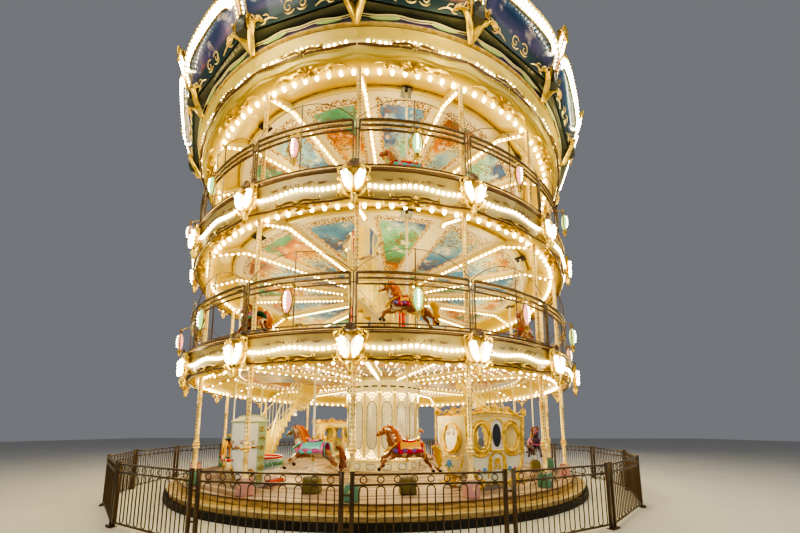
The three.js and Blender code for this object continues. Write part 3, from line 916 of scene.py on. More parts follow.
# %% [markdown]
# ## Ornament
# The gilded scrolls are carved once as a few flowing lines. Each is a curve whose rod swells and thins
# along its length, like carving does. A spiral ends it, and a row of them bends round the rim.


# %% Scrolls, curls and leaves
def spiral(centre, size, turns, start, hand, points=9):
    """Points of a curl that winds in to its centre, in the X-Z plane."""
    made = []
    for i in range(points):
        share = i / (points - 1)
        angle = start + hand * share * turns * 2 * math.pi
        reach = size * (1 - 0.85 * share)
        made.append((centre[0] + reach * math.cos(angle), centre[1] + reach * math.sin(angle)))
    return made


def smooth_through(knots, steps=3):
    """A smooth line of points through a few knots."""
    padded = [knots[0]] + list(knots) + [knots[-1]]
    made = []
    for i in range(1, len(padded) - 2):
        a, b, c, d = (np.array(padded[i + k]) for k in (-1, 0, 1, 2))
        for k in range(steps):
            t = k / steps
            spot = 0.5 * (
                2 * b + (c - a) * t + (2 * a - 5 * b + 4 * c - d) * t**2 + (3 * b - 3 * c + d - a) * t**3
            )
            made.append(tuple(spot))
    return made + [tuple(knots[-1])]


def carved(name, flat_points, width, depth=0.0, sides=4, ends=0.25):
    """A carved line lying on the front of a surface, thin at both ends."""
    count = len(flat_points)
    shares = [min(1, (i + 0.5) / count * 1.15) for i in range(count)]
    swell = [ends + (1 - ends) * math.sin(math.pi * share) ** 0.7 for share in shares]
    return tube(name, [(x, -depth, z) for x, z in flat_points], width, sides, swell=swell)


def flowing(name, knots, width, depth=0.0, sides=4, ends=0.25, steps=3):
    """A carved line that flows through a few knots."""
    return carved(name, smooth_through(knots, steps), width, depth, sides, ends)


def curled(name, centre, size, turns, start, hand, width, depth=0.0, sides=4, ends=0.25, points=9):
    """A carved curl that winds in to its centre."""
    return carved(name, spiral(centre, size, turns, start, hand, points), width, depth, sides, ends)


def pair(obj):
    """A carving and its mirror image, joined."""
    name = obj.name
    return joined(name, obj, twin(obj, MIRROR))


def shell_boss(width, height, lobes=7, depth=0.05):
    """A small fan shell, as carved at the middle of a rail."""
    ribs = []
    for i in range(lobes):
        angle = math.pi * (0.08 + 0.84 * i / (lobes - 1))
        tip = (width * math.cos(angle), height * math.sin(angle))
        ribs.append(
            carved(
                "rib",
                [(tip[0] * s, tip[1] * s) for s in (0.05, 0.35, 0.7, 1.0)],
                width * 0.17,
                depth,
                ends=0.5,
            )
        )
    return joined("shell_boss", *ribs)


FASCIA_R = 6.2
BAY_WIDTH = BAY * FASCIA_R
FASCIA_LOW = -0.565


def row_height(x):
    """How far below the deck the bulb row runs, which rises and falls twice in a bay."""
    return -0.375 + 0.032 * math.cos(4 * math.pi * x / BAY_WIDTH)


def edge_height(x):
    """The lower edge of the fascia, lowest a quarter of the way along."""
    return FASCIA_LOW + 0.028 * math.cos(4 * math.pi * x / BAY_WIDTH)


# %% [markdown]
# ## Lit fascias
# Under each deck hangs a cream-gold valance with a wavy row of bulbs, a gilded edge that dips with it,
# and carved scrolls at mid-bay. The valance is turned from a bellied profile. Its lower edge is then
# lifted and dropped by its place in the bay, which no turning tool could do alone.


# %% Valances
LIFTED_SHARE = 0.45


def valance(name, profile):
    """A turned skirt of cloth-like panels whose lower points follow the scalloped edge."""
    skirt_piece = turned(name, closed(profile), VALANCE_SIDES)
    heights = [z for radius, z in profile]
    low = min(heights)
    band = (max(heights) - low) * LIFTED_SHARE
    for vertex in skirt_piece.data.vertices:
        share = (low + band - vertex.co.z) / band
        if share > 0:
            azimuth = math.atan2(vertex.co.x, -vertex.co.y)
            x = ((azimuth / BAY) % 1 - 0.5) * BAY_WIDTH
            vertex.co.z += share * (edge_height(x) - FASCIA_LOW)
    return skirt_piece


def fascia_profile(deck, flare):
    return [
        (6.13, deck - 0.10),
        (6.205 + flare, deck - 0.10),
        (6.185 + flare * 0.72, deck - 0.18),
        (6.185 + flare * 0.42, deck - 0.28),
        (6.205 + flare * 0.22, deck - 0.37),
        (6.212 + flare * 0.08, deck - 0.44),
        (6.195, deck - 0.51),
        (6.165, deck + FASCIA_LOW),
        (6.125, deck + FASCIA_LOW),
        (6.12, deck - 0.40),
    ]


def surface_radius(profile, deck, drop):
    """How far out the front of the valance is, that far below the deck."""
    front = sorted((deck - z, r) for r, z in profile[1:8])
    for (z0, r0), (z1, r1) in zip(front, front[1:]):
        if z0 <= drop <= z1:
            return r0 + (r1 - r0) * (drop - z0) / (z1 - z0)
    return front[-1][1]


LAMPLIT_REACH = 0.17


def lamplit(name, paint, rows, strength):
    """Paint with a painted glow along a row of bulbs at each of those heights."""
    material = enamel(name, paint, shine=0.3, metallic=0.1)
    tree = material.node_tree
    height = apart(tree)[2]
    glow = 0.0
    for row in rows:
        near = banded(tree, off_from(tree, height, row), 1.0, 0.0, 0.0, LAMPLIT_REACH)
        glow = maths(tree, "MAXIMUM", glow, maths(tree, "POWER", near, 2.0))
    glow = blended(tree, glow, (0, 0, 0), (1.0, 0.80, 0.30))
    plug(tree, tree.nodes["Principled BSDF"], {"Emission Color": glow, "Emission Strength": strength})
    return material


UPPER_DROP = 1.18
# The valances and the cornice get a painted glow along their bulb rows.
fascia_gold = lamplit(
    "fascia_olive_gold",
    (0.44, 0.33, 0.12),
    (MIDDLE - 0.375, UPPER - 0.375 * UPPER_DROP),
    0.8,
)
cornice_gold = lamplit("cornice_yellow_gold", (0.70, 0.53, 0.13), (ROOF - 0.375,), 0.7)
BULBS_PER_BAY = 17


def fascia_bulbs(name, deck, profile, clear, share=1.0):
    """The bulbs of one valance, clear of the corners by a share of the bay."""
    places = []
    for azimuth in MID_BAYS:
        for i in range(BULBS_PER_BAY):
            x = ((i + 0.5) / BULBS_PER_BAY - 0.5) * BAY_WIDTH * clear
            drop = -row_height(x)
            reach = surface_radius(profile, deck, drop) + 0.018
            places.append(at_rim(reach, azimuth + x / FASCIA_R, deck - drop * share))
    row = copies(name, bulb(0.036), places)
    return dress(row, warm_bulb)


def edge_trim(name, deck, radius):
    """The gilded lower edge over a painted brown shadow, with its curls and the mid-bay shell, for all
    bays.
    """
    half = BAY_WIDTH / 2
    rim_line = [(x, edge_height(x)) for x in np.linspace(half * 0.995, half * 0.30, 8)]
    rim_line += [(half * 0.16, edge_height(half * 0.25) + 0.005), (half * 0.04, FASCIA_LOW + 0.01)]
    line_piece = carved("edge_line", rim_line, 0.020, 0.02, ends=0.6)
    corner_curl = curled("corner_curl", (half * 0.72, FASCIA_LOW + 0.035), 0.06, 1.2, -0.4, 1, 0.017, 0.03)
    upper = smooth_through(
        [
            (half * 0.40, -0.535), (half * 0.30, -0.545), (half * 0.20, -0.515),
            (half * 0.10, -0.51), (half * 0.02, -0.55),
        ]
    )
    s_line = carved("s_line", upper, 0.021, 0.04)
    s_curl = curled("s_curl", (half * 0.385, -0.515), 0.045, 1.1, -1.4, 1, 0.016, 0.04)
    flick = flowing(
        "flick",
        [(half * 0.05, -0.60), (half * 0.16, -0.585), (half * 0.27, -0.60)],
        0.016,
        0.03,
    )
    half_trim = joined("trim", line_piece, corner_curl, s_line, s_curl, flick)
    boss = moved(shell_boss(0.085, 0.075), offset(0, 0, -0.585))
    drop_piece = carved("drop", [(0, -0.56), (0, -0.60), (0, -0.64)], 0.022, 0.03)
    trim = joined("trim", pair(half_trim), boss, drop_piece)
    bent_round(trim, radius)
    # The shade is a painted shadow: the trim grown a little, set back behind it and painted dark brown.
    shade = apply_modifier(twin(trim, offset(0, 0, deck - 0.010)), "DECIMATE", ratio=0.5)
    for vertex in shade.data.vertices:
        vertex.co += vertex.normal * 0.008
        vertex.co.y += 0.012
    spread(f"{name}_shade", shade, [turn(a) for a in MID_BAYS], moulding_brown)
    trim = copies(name, trim, every_bay(deck))
    return dress(trim, gold)


def fine_scrolls(name, deck, radius):
    """Thin painted relief above the bulbs at mid-bay."""
    parts = [
        flowing("arc", [(0.19, -0.255), (0.25, -0.205), (0.33, -0.205), (0.385, -0.25)], 0.010, 0.004),
        flowing("leaf", [(0.13, -0.26), (0.155, -0.235), (0.15, -0.20)], 0.013, 0.004),
        flowing("leaf", [(0.45, -0.225), (0.52, -0.245), (0.66, -0.235)], 0.012, 0.004),
        flowing("leaf", [(0.46, -0.262), (0.55, -0.268), (0.62, -0.262)], 0.010, 0.004),
        flowing("arc", [(0.0, -0.205), (0.035, -0.225), (0.035, -0.255), (0.0, -0.27)], 0.010, 0.004),
        curled("bud", (0.29, -0.25), 0.035, 1.0, 0.4, 1, 0.009, 0.004, points=8),
    ]
    relief = bent_round(pair(joined("relief", *parts)), radius)
    relief = copies(name, relief, every_bay(deck))
    return dress(relief, moulding_brown)


for storey, deck, share in (("lower", MIDDLE, 1.0), ("middle", UPPER, UPPER_DROP)):
    profile = fascia_profile(deck, 0.0)
    face = valance(f"valance_{storey}", profile)
    for vertex in face.data.vertices:
        vertex.co.z = deck + (vertex.co.z - deck) * share
    dress(face, fascia_gold)
    fascia_bulbs(f"valance_bulbs_{storey}", deck, profile, 0.80, share)
    edge_trim(f"valance_edge_{storey}", deck + FASCIA_LOW * (share - 1), 6.155)
    fine_scrolls(f"valance_relief_{storey}", deck - 0.23 * (share - 1), 6.187)
    print(face.name, len(face.data.polygons), "faces")

for node_name in ("fascia_middle", "fascia_upper"):
    repaint(node_name, fascia_gold)
CORNICE_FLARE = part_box("cornice")[1][0] - DECK_R
cornice_shape = fascia_profile(ROOF, CORNICE_FLARE)
cornice_face = valance("cornice_face", cornice_shape)
dress(cornice_face, cornice_gold)
repaint("cornice", cornice_gold)
fascia_bulbs("cornice_bulbs", ROOF, cornice_shape, 0.86)
edge_trim("cornice_edge", ROOF + 0.125, 6.225 + CORNICE_FLARE * 0.1)
print("the cornice flares", round(CORNICE_FLARE, 3), "m")

# %% [markdown]
# Each deck's edge carries a dark moulding with a bright line along it, where the real one catches the
# lamps. It is one turned bead over a cove.


# %% Deck edges
def deck_edge(name, deck):
    shape = [(6.16, deck - 0.105), (6.225, deck - 0.105), (6.215, deck - 0.085), (6.24, deck - 0.065)]
    shape += [
        (6.245, deck - 0.04), (6.225, deck - 0.025), (6.25, deck - 0.01), (6.25, deck + 0.006),
        (6.16, deck + 0.006),
    ]
    edge_piece = turned(f"{name}_edge", closed(shape), TRIM_SIDES)
    dress(edge_piece, moulding_brown)
    bright = turned(
        f"{name}_bright_line",
        closed([(6.236, deck - 0.05), (6.251, deck - 0.046), (6.251, deck - 0.036), (6.236, deck - 0.032)]),
        TRIM_SIDES,
    )
    dress(bright, straw_gold)


deck_edge("deck_middle", MIDDLE)
deck_edge("deck_upper", UPPER)

# %% [markdown]
# ## Corner cartouches
# Where two bays meet hangs a carved shield of two lit leaves in a gilded frame, with a dark shell over
# it and a pendant under it. The leaves are domed white glass with bulbs behind, so each is modelled as
# a pillow of glowing glass with small bright bulbs standing out of it.


# %% Cartouches
def leaf_outline(tip, heel, bulge, steps=10):
    """A leaf from tip to heel, bulging by that much to its right."""
    tip, heel = np.array(tip), np.array(heel)
    along = heel - tip
    across = np.array([along[1], -along[0]])
    right, left = [], []
    for i in range(steps + 1):
        t = i / steps
        swell = math.sin(math.pi * t**0.8)
        right.append(tuple(tip + along * t + across * bulge * swell))
        left.append(tuple(tip + along * t - across * bulge * 0.75 * swell))
    return right + left[-2:0:-1]


def domed(name, outline, rise):
    """A pillow on an outline in the X-Z plane, its middle pushed forward by rise."""
    line([(x, 0, z) for x, z in outline])
    bpy.ops.mesh.select_all(action="SELECT")
    bpy.ops.mesh.edge_face_add()
    for share, shrink in ((0.45, 0.97), (0.3, 0.85), (0.17, 0.72), (0.08, 0.5)):
        bpy.ops.mesh.extrude_region_move(TRANSFORM_OT_translate={"value": (0, -rise * share, 0)})
        bpy.ops.transform.resize(value=(shrink, 1, shrink))
    return done(name, 80)


LEAF = [(x + 0.115, z) for x, z in leaf_outline((0.035, 0.175), (-0.065, -0.20), 0.26)]
glass_leaf = domed("cartouche_glass", LEAF, 0.06)
glass_leaves = pair(glass_leaf)
leaf_frame = tube("leaf_frame", [(x, -0.01, z) for x, z in LEAF], 0.018, 4, loop=True)
frame_parts = [
    leaf_frame,
    curled("side_curl", (0.245, 0.02), 0.05, 1.3, 1.2, 1, 0.016, 0.0, ends=0.5),
    curled("low_curl", (0.215, -0.20), 0.055, 1.3, 2.0, 1, 0.018, 0.0, ends=0.5),
    flowing("low_sweep", [(0.19, -0.16), (0.12, -0.25), (0.03, -0.30)], 0.022, 0.0),
    curled("top_curl", (0.155, 0.23), 0.055, 1.3, -0.8, -1, 0.018, 0.0, ends=0.5),
    flowing("top_sweep", [(0.19, 0.20), (0.10, 0.28), (0.02, 0.26)], 0.020, 0.0),
    flowing("wing", [(0.20, 0.24), (0.26, 0.20), (0.24, 0.10)], 0.020, 0.0),
]
backing = plate(
    "backing",
    [(-0.21, -0.18), (0.21, -0.18), (0.24, 0.16), (0.10, 0.25), (-0.10, 0.25), (-0.24, 0.16)],
    0.03,
    0.01,
)
moved(backing, offset(0, 0.05, 0))
pendant = turned(
    "pendant",
    [(0, 0.06), (0.05, 0.05), (0.065, 0.0), (0.03, -0.06), (0.038, -0.09), (0, -0.15)],
    10,
)
moved(pendant, offset(0, 0.0, -0.30))
cartouche_gilding = joined("cartouche_gilding", pair(joined("halves", *frame_parts)), backing, pendant)
dark_shell = shell_boss(0.115, 0.13, 9, 0.02)
moved(dark_shell, offset(0, 0, 0.235))
BULBS_IN_LEAF = [
    (0.20, 0.085), (0.185, 0.015), (0.17, -0.055), (0.135, -0.12), (0.09, -0.16), (0.135, 0.11),
    (0.12, 0.04), (0.10, -0.03), (0.08, -0.10),
]
leaf_bulb_places = [
    offset(side * (x - 0.02), -0.065, z)
    for x, z in BULBS_IN_LEAF
    for side in (-1, 1)
]
leaf_bulbs = copies("leaf_bulbs", bulb(0.026), leaf_bulb_places)


CARTOUCHE_R, CARTOUCHE_SIZE = 6.30, 1.22


def hang_cartouches(storey, deck, last=False):
    """The four parts of a cartouche at each corner of a storey. The last storey uses up the seeds."""
    size = Matrix.Scale(CARTOUCHE_SIZE, 4)
    places = [at_rim(CARTOUCHE_R, a, deck - 0.385) @ size for a in CORNERS]
    for seed, label, finish in (
        (glass_leaves, "glass", leaf_glass),
        (cartouche_gilding, "gilding", gold),
        (dark_shell, "shell", moulding_brown),
        (leaf_bulbs, "bulbs", white_bulb),
    ):
        own = seed if last else twin(seed, Matrix.Identity(4))
        spread(f"cartouche_{label}_{storey}", own, places, finish)


leaf_glass = lit("cartouche_glass_glow", (1.0, 0.90, 0.62), 1.2)
hang_cartouches("lower", MIDDLE)
hang_cartouches("middle", UPPER, last=True)
print("cartouches", len(CORNERS), "to a storey, two storeys")

# %% [markdown]
# ## Railings and lamps
# The balustrade is three rails near the top with two bright lines between them, one rail near the deck
# and triple posts at the corners, in dark bronze. The bright lines are painted highlights, where the
# real rails catch the lamps. Rails are cut across a few times and then bent round the rim. Between posts
# hangs an oval lamp of tinted glass in a gilded frame, with a thin rod rising behind it and a thin wire
# that arches from post to post.


# %% Railings
RAILS = ((1.13, 0.032, 0.07), (1.01, 0.028, 0.05), (0.89, 0.022, 0.05), (0.10, 0.026, 0.034))
BRIGHT_LINES = (1.085, 0.965)


def railing(storey, deck):
    half = BAY * RAIL_R / 2
    rails = []
    for height, thick, deep in RAILS:
        reach = half - (0.075 if height > 0.5 else 0.0)
        rail = bar("rail", (2 * reach, deep, thick), (0, 0, height), 0.006)
        rails.append(cross_cut(rail, 0, np.linspace(-reach, reach, 10)[1:-1]))
    for side in (-1, 1):
        rails.append(bar("end_post", (0.022, 0.034, 0.26), (side * (half - 0.085), 0, 1.01), 0.005))
    bay_rails = bent_round(joined("bay_rails", *rails), RAIL_R)
    shapes = [copies("bay_rails", bay_rails, every_bay(deck))]
    posts = [bar("post", (0.026, 0.03, 1.13), (x, 0, 0.565), 0.005) for x in (-0.06, 0, 0.06)]
    ties_here = [bar("tie", (0.16, 0.036, 0.016), (0, 0, z), 0.004) for z in (0.23, 0.93)]
    feet = bar("foot", (0.17, 0.06, 0.02), (0, 0, 0.012), 0.004)
    corner = joined("rail_corner", *posts, *ties_here, feet)
    corners = copies("rail_corners", corner, round_rim(RAIL_R, deck, CORNERS))
    stub = turned(
        "stub",
        [(0, 0.0), (0.014, 0.0), (0.02, 0.035), (0.009, 0.06), (0.009, 0.09), (0, 0.09)],
        6,
    )
    stub_places = [at_rim(RAIL_R, a + k * BAY / 8, deck + 0.003) for a in CORNERS for k in range(1, 8)]
    stubs = copies("rail_stubs", stub, stub_places)
    # The bright lines are painted highlights, where the real rails catch the lamps.
    lines = []
    for height in BRIGHT_LINES:
        line_bar = bar("line", (2 * half - 0.16, 0.02, 0.022), (0, 0, height), 0.004)
        lines.append(cross_cut(line_bar, 0, np.linspace(-half, half, 10)[1:-1]))
    bright = bent_round(joined("bright", *lines), RAIL_R)
    bright = copies(f"rail_painted_highlights_{storey}", bright, every_bay(deck))
    dress(bright, straw_gold)
    balustrade = joined(f"balustrade_{storey}", *shapes, corners, stubs)
    dress(balustrade, rail_bronze)
    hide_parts(f"railing_{storey}")
    return balustrade


def arch_wires(storey, deck):
    """The thin arched wire over each bay and the rod over each lamp."""
    half = BAY * RAIL_R / 2
    points = []
    for i in range(17):
        x = -half + i * half / 8
        points.append((x, 0, 1.14 + 0.50 * (1 - (abs(x) / half) ** 2.3)))
    wire = tube("wire", points, 0.009, 4)
    rod = tube("rod", [(0, 0.0, 0.10), (0, 0.0, 1.66)], 0.013, 6)
    wire = bent_round(joined("wire", wire, rod), RAIL_R)
    wires = copies(f"arch_wires_{storey}", wire, every_bay(deck))
    return dress(wires, moulding_brown)


for storey, deck in (("middle", MIDDLE), ("upper", UPPER)):
    made = railing(storey, deck)
    arch_wires(storey, deck)
    print(made.name, len(made.data.polygons), "faces")


# %% Oval lamps
def lamp_glass():
    select_only()
    bpy.ops.mesh.primitive_uv_sphere_add(segments=14, ring_count=10, radius=1)
    glass = bpy.context.object
    edit(glass)
    bpy.ops.transform.resize(value=(0.088, 0.07, 0.235))
    glass = done("lamp_glass", 80)
    for vertex in glass.data.vertices:
        pull = 1 - 0.28 * max(0, -vertex.co.z / 0.235) ** 1.5
        vertex.co.x *= pull
    return glass


def lamp_frame():
    ring_points = []
    for i in range(20):
        angle = 2 * math.pi * i / 20
        squeeze = 1 - 0.28 * max(0, -math.sin(angle)) ** 1.5
        ring_points.append((0.118 * math.cos(angle) * squeeze, 0, 0.26 * math.sin(angle)))
    parts = [
        tube("frame", ring_points, 0.016, 6, loop=True),
        pair(flowing("crest", [(0.0, 0.30), (0.08, 0.33), (0.15, 0.27)], 0.02, ends=0.4)),
        pair(curled("crest_curl", (0.135, 0.285), 0.04, 1.2, 0.2, -1, 0.013, ends=0.5)),
        pair(flowing("side", [(0.13, 0.10), (0.165, 0.0), (0.13, -0.12)], 0.016, ends=0.3)),
        pair(curled("foot_curl", (0.07, -0.285), 0.035, 1.2, 1.0, -1, 0.013, ends=0.5)),
    ]
    cup = turned(
        "cup",
        [(0, 0.05), (0.05, 0.05), (0.06, 0.02), (0.035, -0.03), (0.045, -0.06), (0.02, -0.10), (0, -0.14)],
        10,
    )
    moved(cup, offset(0, 0, -0.285))
    return joined("lamp_frame", *parts, cup)


lamp_bulbs = copies(
    "lamp_bulbs",
    bulb(0.021),
    [offset(0, -0.078 + 0.9 * z * z, z) for z in (-0.14, -0.07, 0.0, 0.07, 0.14)],
)
LAMP_R = 6.36
for storey, deck, height in (("middle", MIDDLE, 0.51), ("upper", UPPER, 0.41)):
    frames = copies(f"lamp_frames_{storey}", lamp_frame(), round_rim(LAMP_R, deck + height, MID_BAYS))
    arm = tube("arm", [(0, 0.0, 0.30), (0, 0.1, 0.40), (0, 0.24, 0.445)], 0.012, 6)
    arms = copies("arms", arm, round_rim(LAMP_R, deck + height, MID_BAYS))
    dress(joined(f"lamp_frames_{storey}", frames, arms), old_gold)
    for first, tint, glass_material in ((1, "pink", pink_glass), (0, "green", green_glass)):
        places = round_rim(LAMP_R, deck + height, MID_BAYS[first::2])
        spread(f"lamp_glass_{tint}_{storey}", lamp_glass(), places, glass_material)
    rows = copies(
        f"lamp_bulbs_{storey}",
        twin(lamp_bulbs, Matrix.Identity(4)),
        round_rim(LAMP_R, deck + height, MID_BAYS),
    )
    dress(rows, white_bulb)
bpy.data.objects.remove(lamp_bulbs)
print("lamps at", LAMP_R, "m")

# %% [markdown]
# ## Coves and soffits
# Behind each valance the ceiling comes down in a yellow cove, with a painted glow near its bulbs, deeper
# above.
# It is a turned strip laid under the construction's own slope, and stands a hand clear of it.


# %% Coves
cove_paint = enamel("cove_lamplit_paint", (0.74, 0.52, 0.08))
COVE_BULB_R = 5.83
tree = cove_paint.node_tree
# The cove paint glows near the bulb row: painted light, fading away from it.
near_bulbs = banded(tree, off_from(tree, polar(tree)[0], COVE_BULB_R), 1.0, 0.0, 0.0, 0.28)
cove_glow = blended(tree, near_bulbs, (0, 0, 0), (1.0, 0.70, 0.16))
plug(tree, tree.nodes["Principled BSDF"], {"Emission Color": cove_glow, "Emission Strength": 0.45})


def cove(storey, deck):
    low = deck - 0.02
    shape = [
        (5.20, low - 0.146), (5.30, low - 0.21), (5.42, low - 0.295), (5.56, low - 0.39),
        (5.70, low - 0.475),
    ]
    shape += [
        (5.82, low - 0.545), (5.93, low - 0.575), (6.05, low - 0.575), (6.12, low - 0.545),
        (6.12, low - 0.53),
    ]
    shape += [(5.90, low - 0.55), (5.78, low - 0.51), (5.40, low - 0.26), (5.21, low - 0.142)]
    strip = turned(f"cove_{storey}", closed(shape), RING_SIDES, 50)
    dress(strip, cove_paint)
    line_ring = turned(
        f"cove_line_{storey}",
        closed([(5.17, low - 0.142), (5.21, low - 0.165), (5.23, low - 0.16), (5.20, low - 0.14)]),
        96,
    )
    dress(line_ring, old_gold)


COVE_BULBS = 8
BULB_SIZES = {
    "lower": (0.036, 0.024, 0.21), "middle": (0.048, 0.031, 0.145), "upper": (0.048, 0.031, 0.145),
}


def cove_bulbs(storey, deck):
    places = []
    for azimuth in MID_BAYS:
        for i in range(COVE_BULBS):
            x = ((i + 0.5) / COVE_BULBS - 0.5) * BAY
            places.append(at_rim(COVE_BULB_R, azimuth + x, deck - 0.60))
    spread(f"cove_bulbs_{storey}", bulb(BULB_SIZES[storey][0]), places, warm_bulb)


def soffit_scrolls(storey, deck):
    """Long gilded arms that meet in a burst of leaves, under the valance of each bay."""
    arm = smooth_through(
        [(0.10, 0.0), (0.25, 0.035), (0.42, 0.01), (0.60, 0.05), (0.78, 0.045), (0.92, -0.02)]
    )
    parts = [
        carved("arm", arm, 0.034, 0.0),
        curled("curl", (0.30, 0.015), 0.075, 1.2, 2.0, 1, 0.026, 0.0),
        curled("curl", (0.55, 0.0), 0.075, 1.2, 0.8, -1, 0.026, 0.0),
        flowing("leaf", [(0.05, 0.03), (0.13, 0.075), (0.22, 0.07)], 0.036, 0.0),
        flowing("leaf", [(0.05, -0.03), (0.12, -0.08), (0.21, -0.07)], 0.036, 0.0),
        flowing("leaf", [(0.92, -0.02), (0.95, -0.05), (0.93, -0.08)], 0.012, 0.0),
        flowing("tip", [(0.40, 0.02), (0.47, -0.03), (0.45, -0.07)], 0.012, 0.0),
    ]
    burst = pair(joined("halves", *parts))
    star = [
        carved(
            "petal",
            [(0, 0), (0.06 * math.cos(a), 0.06 * math.sin(a)), (0.13 * math.cos(a), 0.13 * math.sin(a))],
            0.03,
        )
        for a in np.linspace(0.2, 6.0, 8)
    ]
    seed = joined("soffit_scroll", burst, *star)
    lying = Matrix.Rotation(math.radians(78), 4, "X")
    moved(seed, lying)
    bent_round(seed, 6.0)
    places = every_bay(deck - 0.612)
    spread(f"soffit_scrolls_{storey}", seed, places, gold)


for storey, (_, top) in STOREYS.items():
    cove(storey, top)
    cove_bulbs(storey, top)
    soffit_scrolls(storey, top)
print("cove bulbs", COVE_BULBS * BAYS * 3)

# %% [markdown]
# ## Lit ribs
# Ribs run out under each ceiling from the drum to the column heads, cream with gilded edges and a row
# of bulbs. Where the stairs come up, a rib keeps only its outer end, as the carpenter had to cut it.

# %% Ribs and their bulbs
STAIR_AZIMUTH, STAIR_AXIS_R, STAIR_HALF = -1.4, 3.3, 1.51


def meets_stair(azimuth, storey_number):
    """Whether a rib at that azimuth runs over one of the storey's two stairs."""
    if storey_number is None:
        return False
    for side in (0, 1):
        off = azimuth - (STAIR_AZIMUTH + side * math.pi + storey_number * math.pi / 2)
        if math.cos(off) > 0 and abs(math.sin(off)) * STAIR_AXIS_R < STAIR_HALF:
            return True
    return False


ACROSS = turn(-math.pi / 2)
RIB_HALF = 0.062
RIB_BEND_R, RIB_END_R, RIB_FACE = 5.05, 5.80, -0.262


def rib_line(reach):
    """How far below the deck the rib's face is, that far from the axis."""
    if reach < RIB_BEND_R:
        return RIB_FACE
    return RIB_FACE - (reach - RIB_BEND_R) * 0.355 / 0.75


def rib(inner):
    low = [(reach, rib_line(reach)) for reach in (inner, RIB_BEND_R, RIB_END_R)] + [(5.86, -0.60)]
    high = [(5.86, -0.50), (5.72, -0.47), (5.24, -0.155), (inner, -0.155)]
    body_piece = moved(plate("rib", low + high, 2 * RIB_HALF), ACROSS @ offset(0, RIB_HALF, 0))
    paint(body_piece, pale_cream)
    rails = []
    for side in (-1, 1):
        path = [(side * RIB_HALF, -r, rib_line(r) - 0.004) for r in (inner, RIB_BEND_R, 5.42, RIB_END_R)]
        rails.append(paint(tube("rib_edge", path, 0.014, 6), gold))
    return joined("rib", body_piece, *rails)


for number, (storey, (_, top)) in enumerate(STOREYS.items()):
    stairs_here = number if number < 2 else None
    full = [a for a in CORNERS if not meets_stair(a, stairs_here)]
    short = [a for a in CORNERS if meets_stair(a, stairs_here)]
    bulb_places = []
    radius, pitch = BULB_SIZES[storey][1:]
    built = [copies("ribs", rib(1.5), [turn(a) @ offset(0, 0, top) for a in full])]
    if short:
        built.append(copies("ribs", rib(4.86), [turn(a) @ offset(0, 0, top) for a in short]))
    ride_as_is(joined(f"ribs_{storey}", *built))
    for azimuth in CORNERS:
        reach = 1.62 if azimuth in full else 4.95
        while reach < 5.72:
            bulb_places.append(at_rim(reach, azimuth, top + rib_line(reach) - 0.022))
            reach += pitch
    spread(f"rib_bulbs_{storey}", bulb(radius), bulb_places, warm_bulb)
    print("ribs", storey, len(full), "whole and", len(short), "short,", len(bulb_places), "bulbs")


# %% [markdown]
# ## Painted ceilings
# Between the ribs the upper ceilings are painted panels, skies and hills in a border of brown curls.
# The scenes here are our own, in the colours and at the scale of such work. Each bay draws its own by
# warping bands of colour with noise, and a white-noise value of the bay's number picks its place in
# the palette, so that no two neighbours match.


# %% Ceiling paint
def ramp(tree, value, stops):
    """A colour ramp with stops of (place, colour)."""
    made = node(tree, "ShaderNodeValToRGB", {0: value})
    elements = made.color_ramp.elements
    while len(elements) < len(stops):
        elements.new(0.5)
    for element, (spot, colour) in zip(elements, stops):
        element.position = spot
        element.color = (*colour, 1)
    return made.outputs[0]


SUNSET = [
    (0.00, (0.03, 0.11, 0.40)),
    (0.18, (0.10, 0.34, 0.66)),
    (0.34, (0.44, 0.62, 0.70)),
    (0.44, (0.82, 0.60, 0.22)),
    (0.52, (0.74, 0.26, 0.05)),
    (0.58, (0.42, 0.10, 0.05)),
    (0.66, (0.06, 0.28, 0.18)),
    (0.78, (0.14, 0.46, 0.30)),
    (0.90, (0.40, 0.62, 0.64)),
    (1.00, (0.03, 0.11, 0.40)),
]


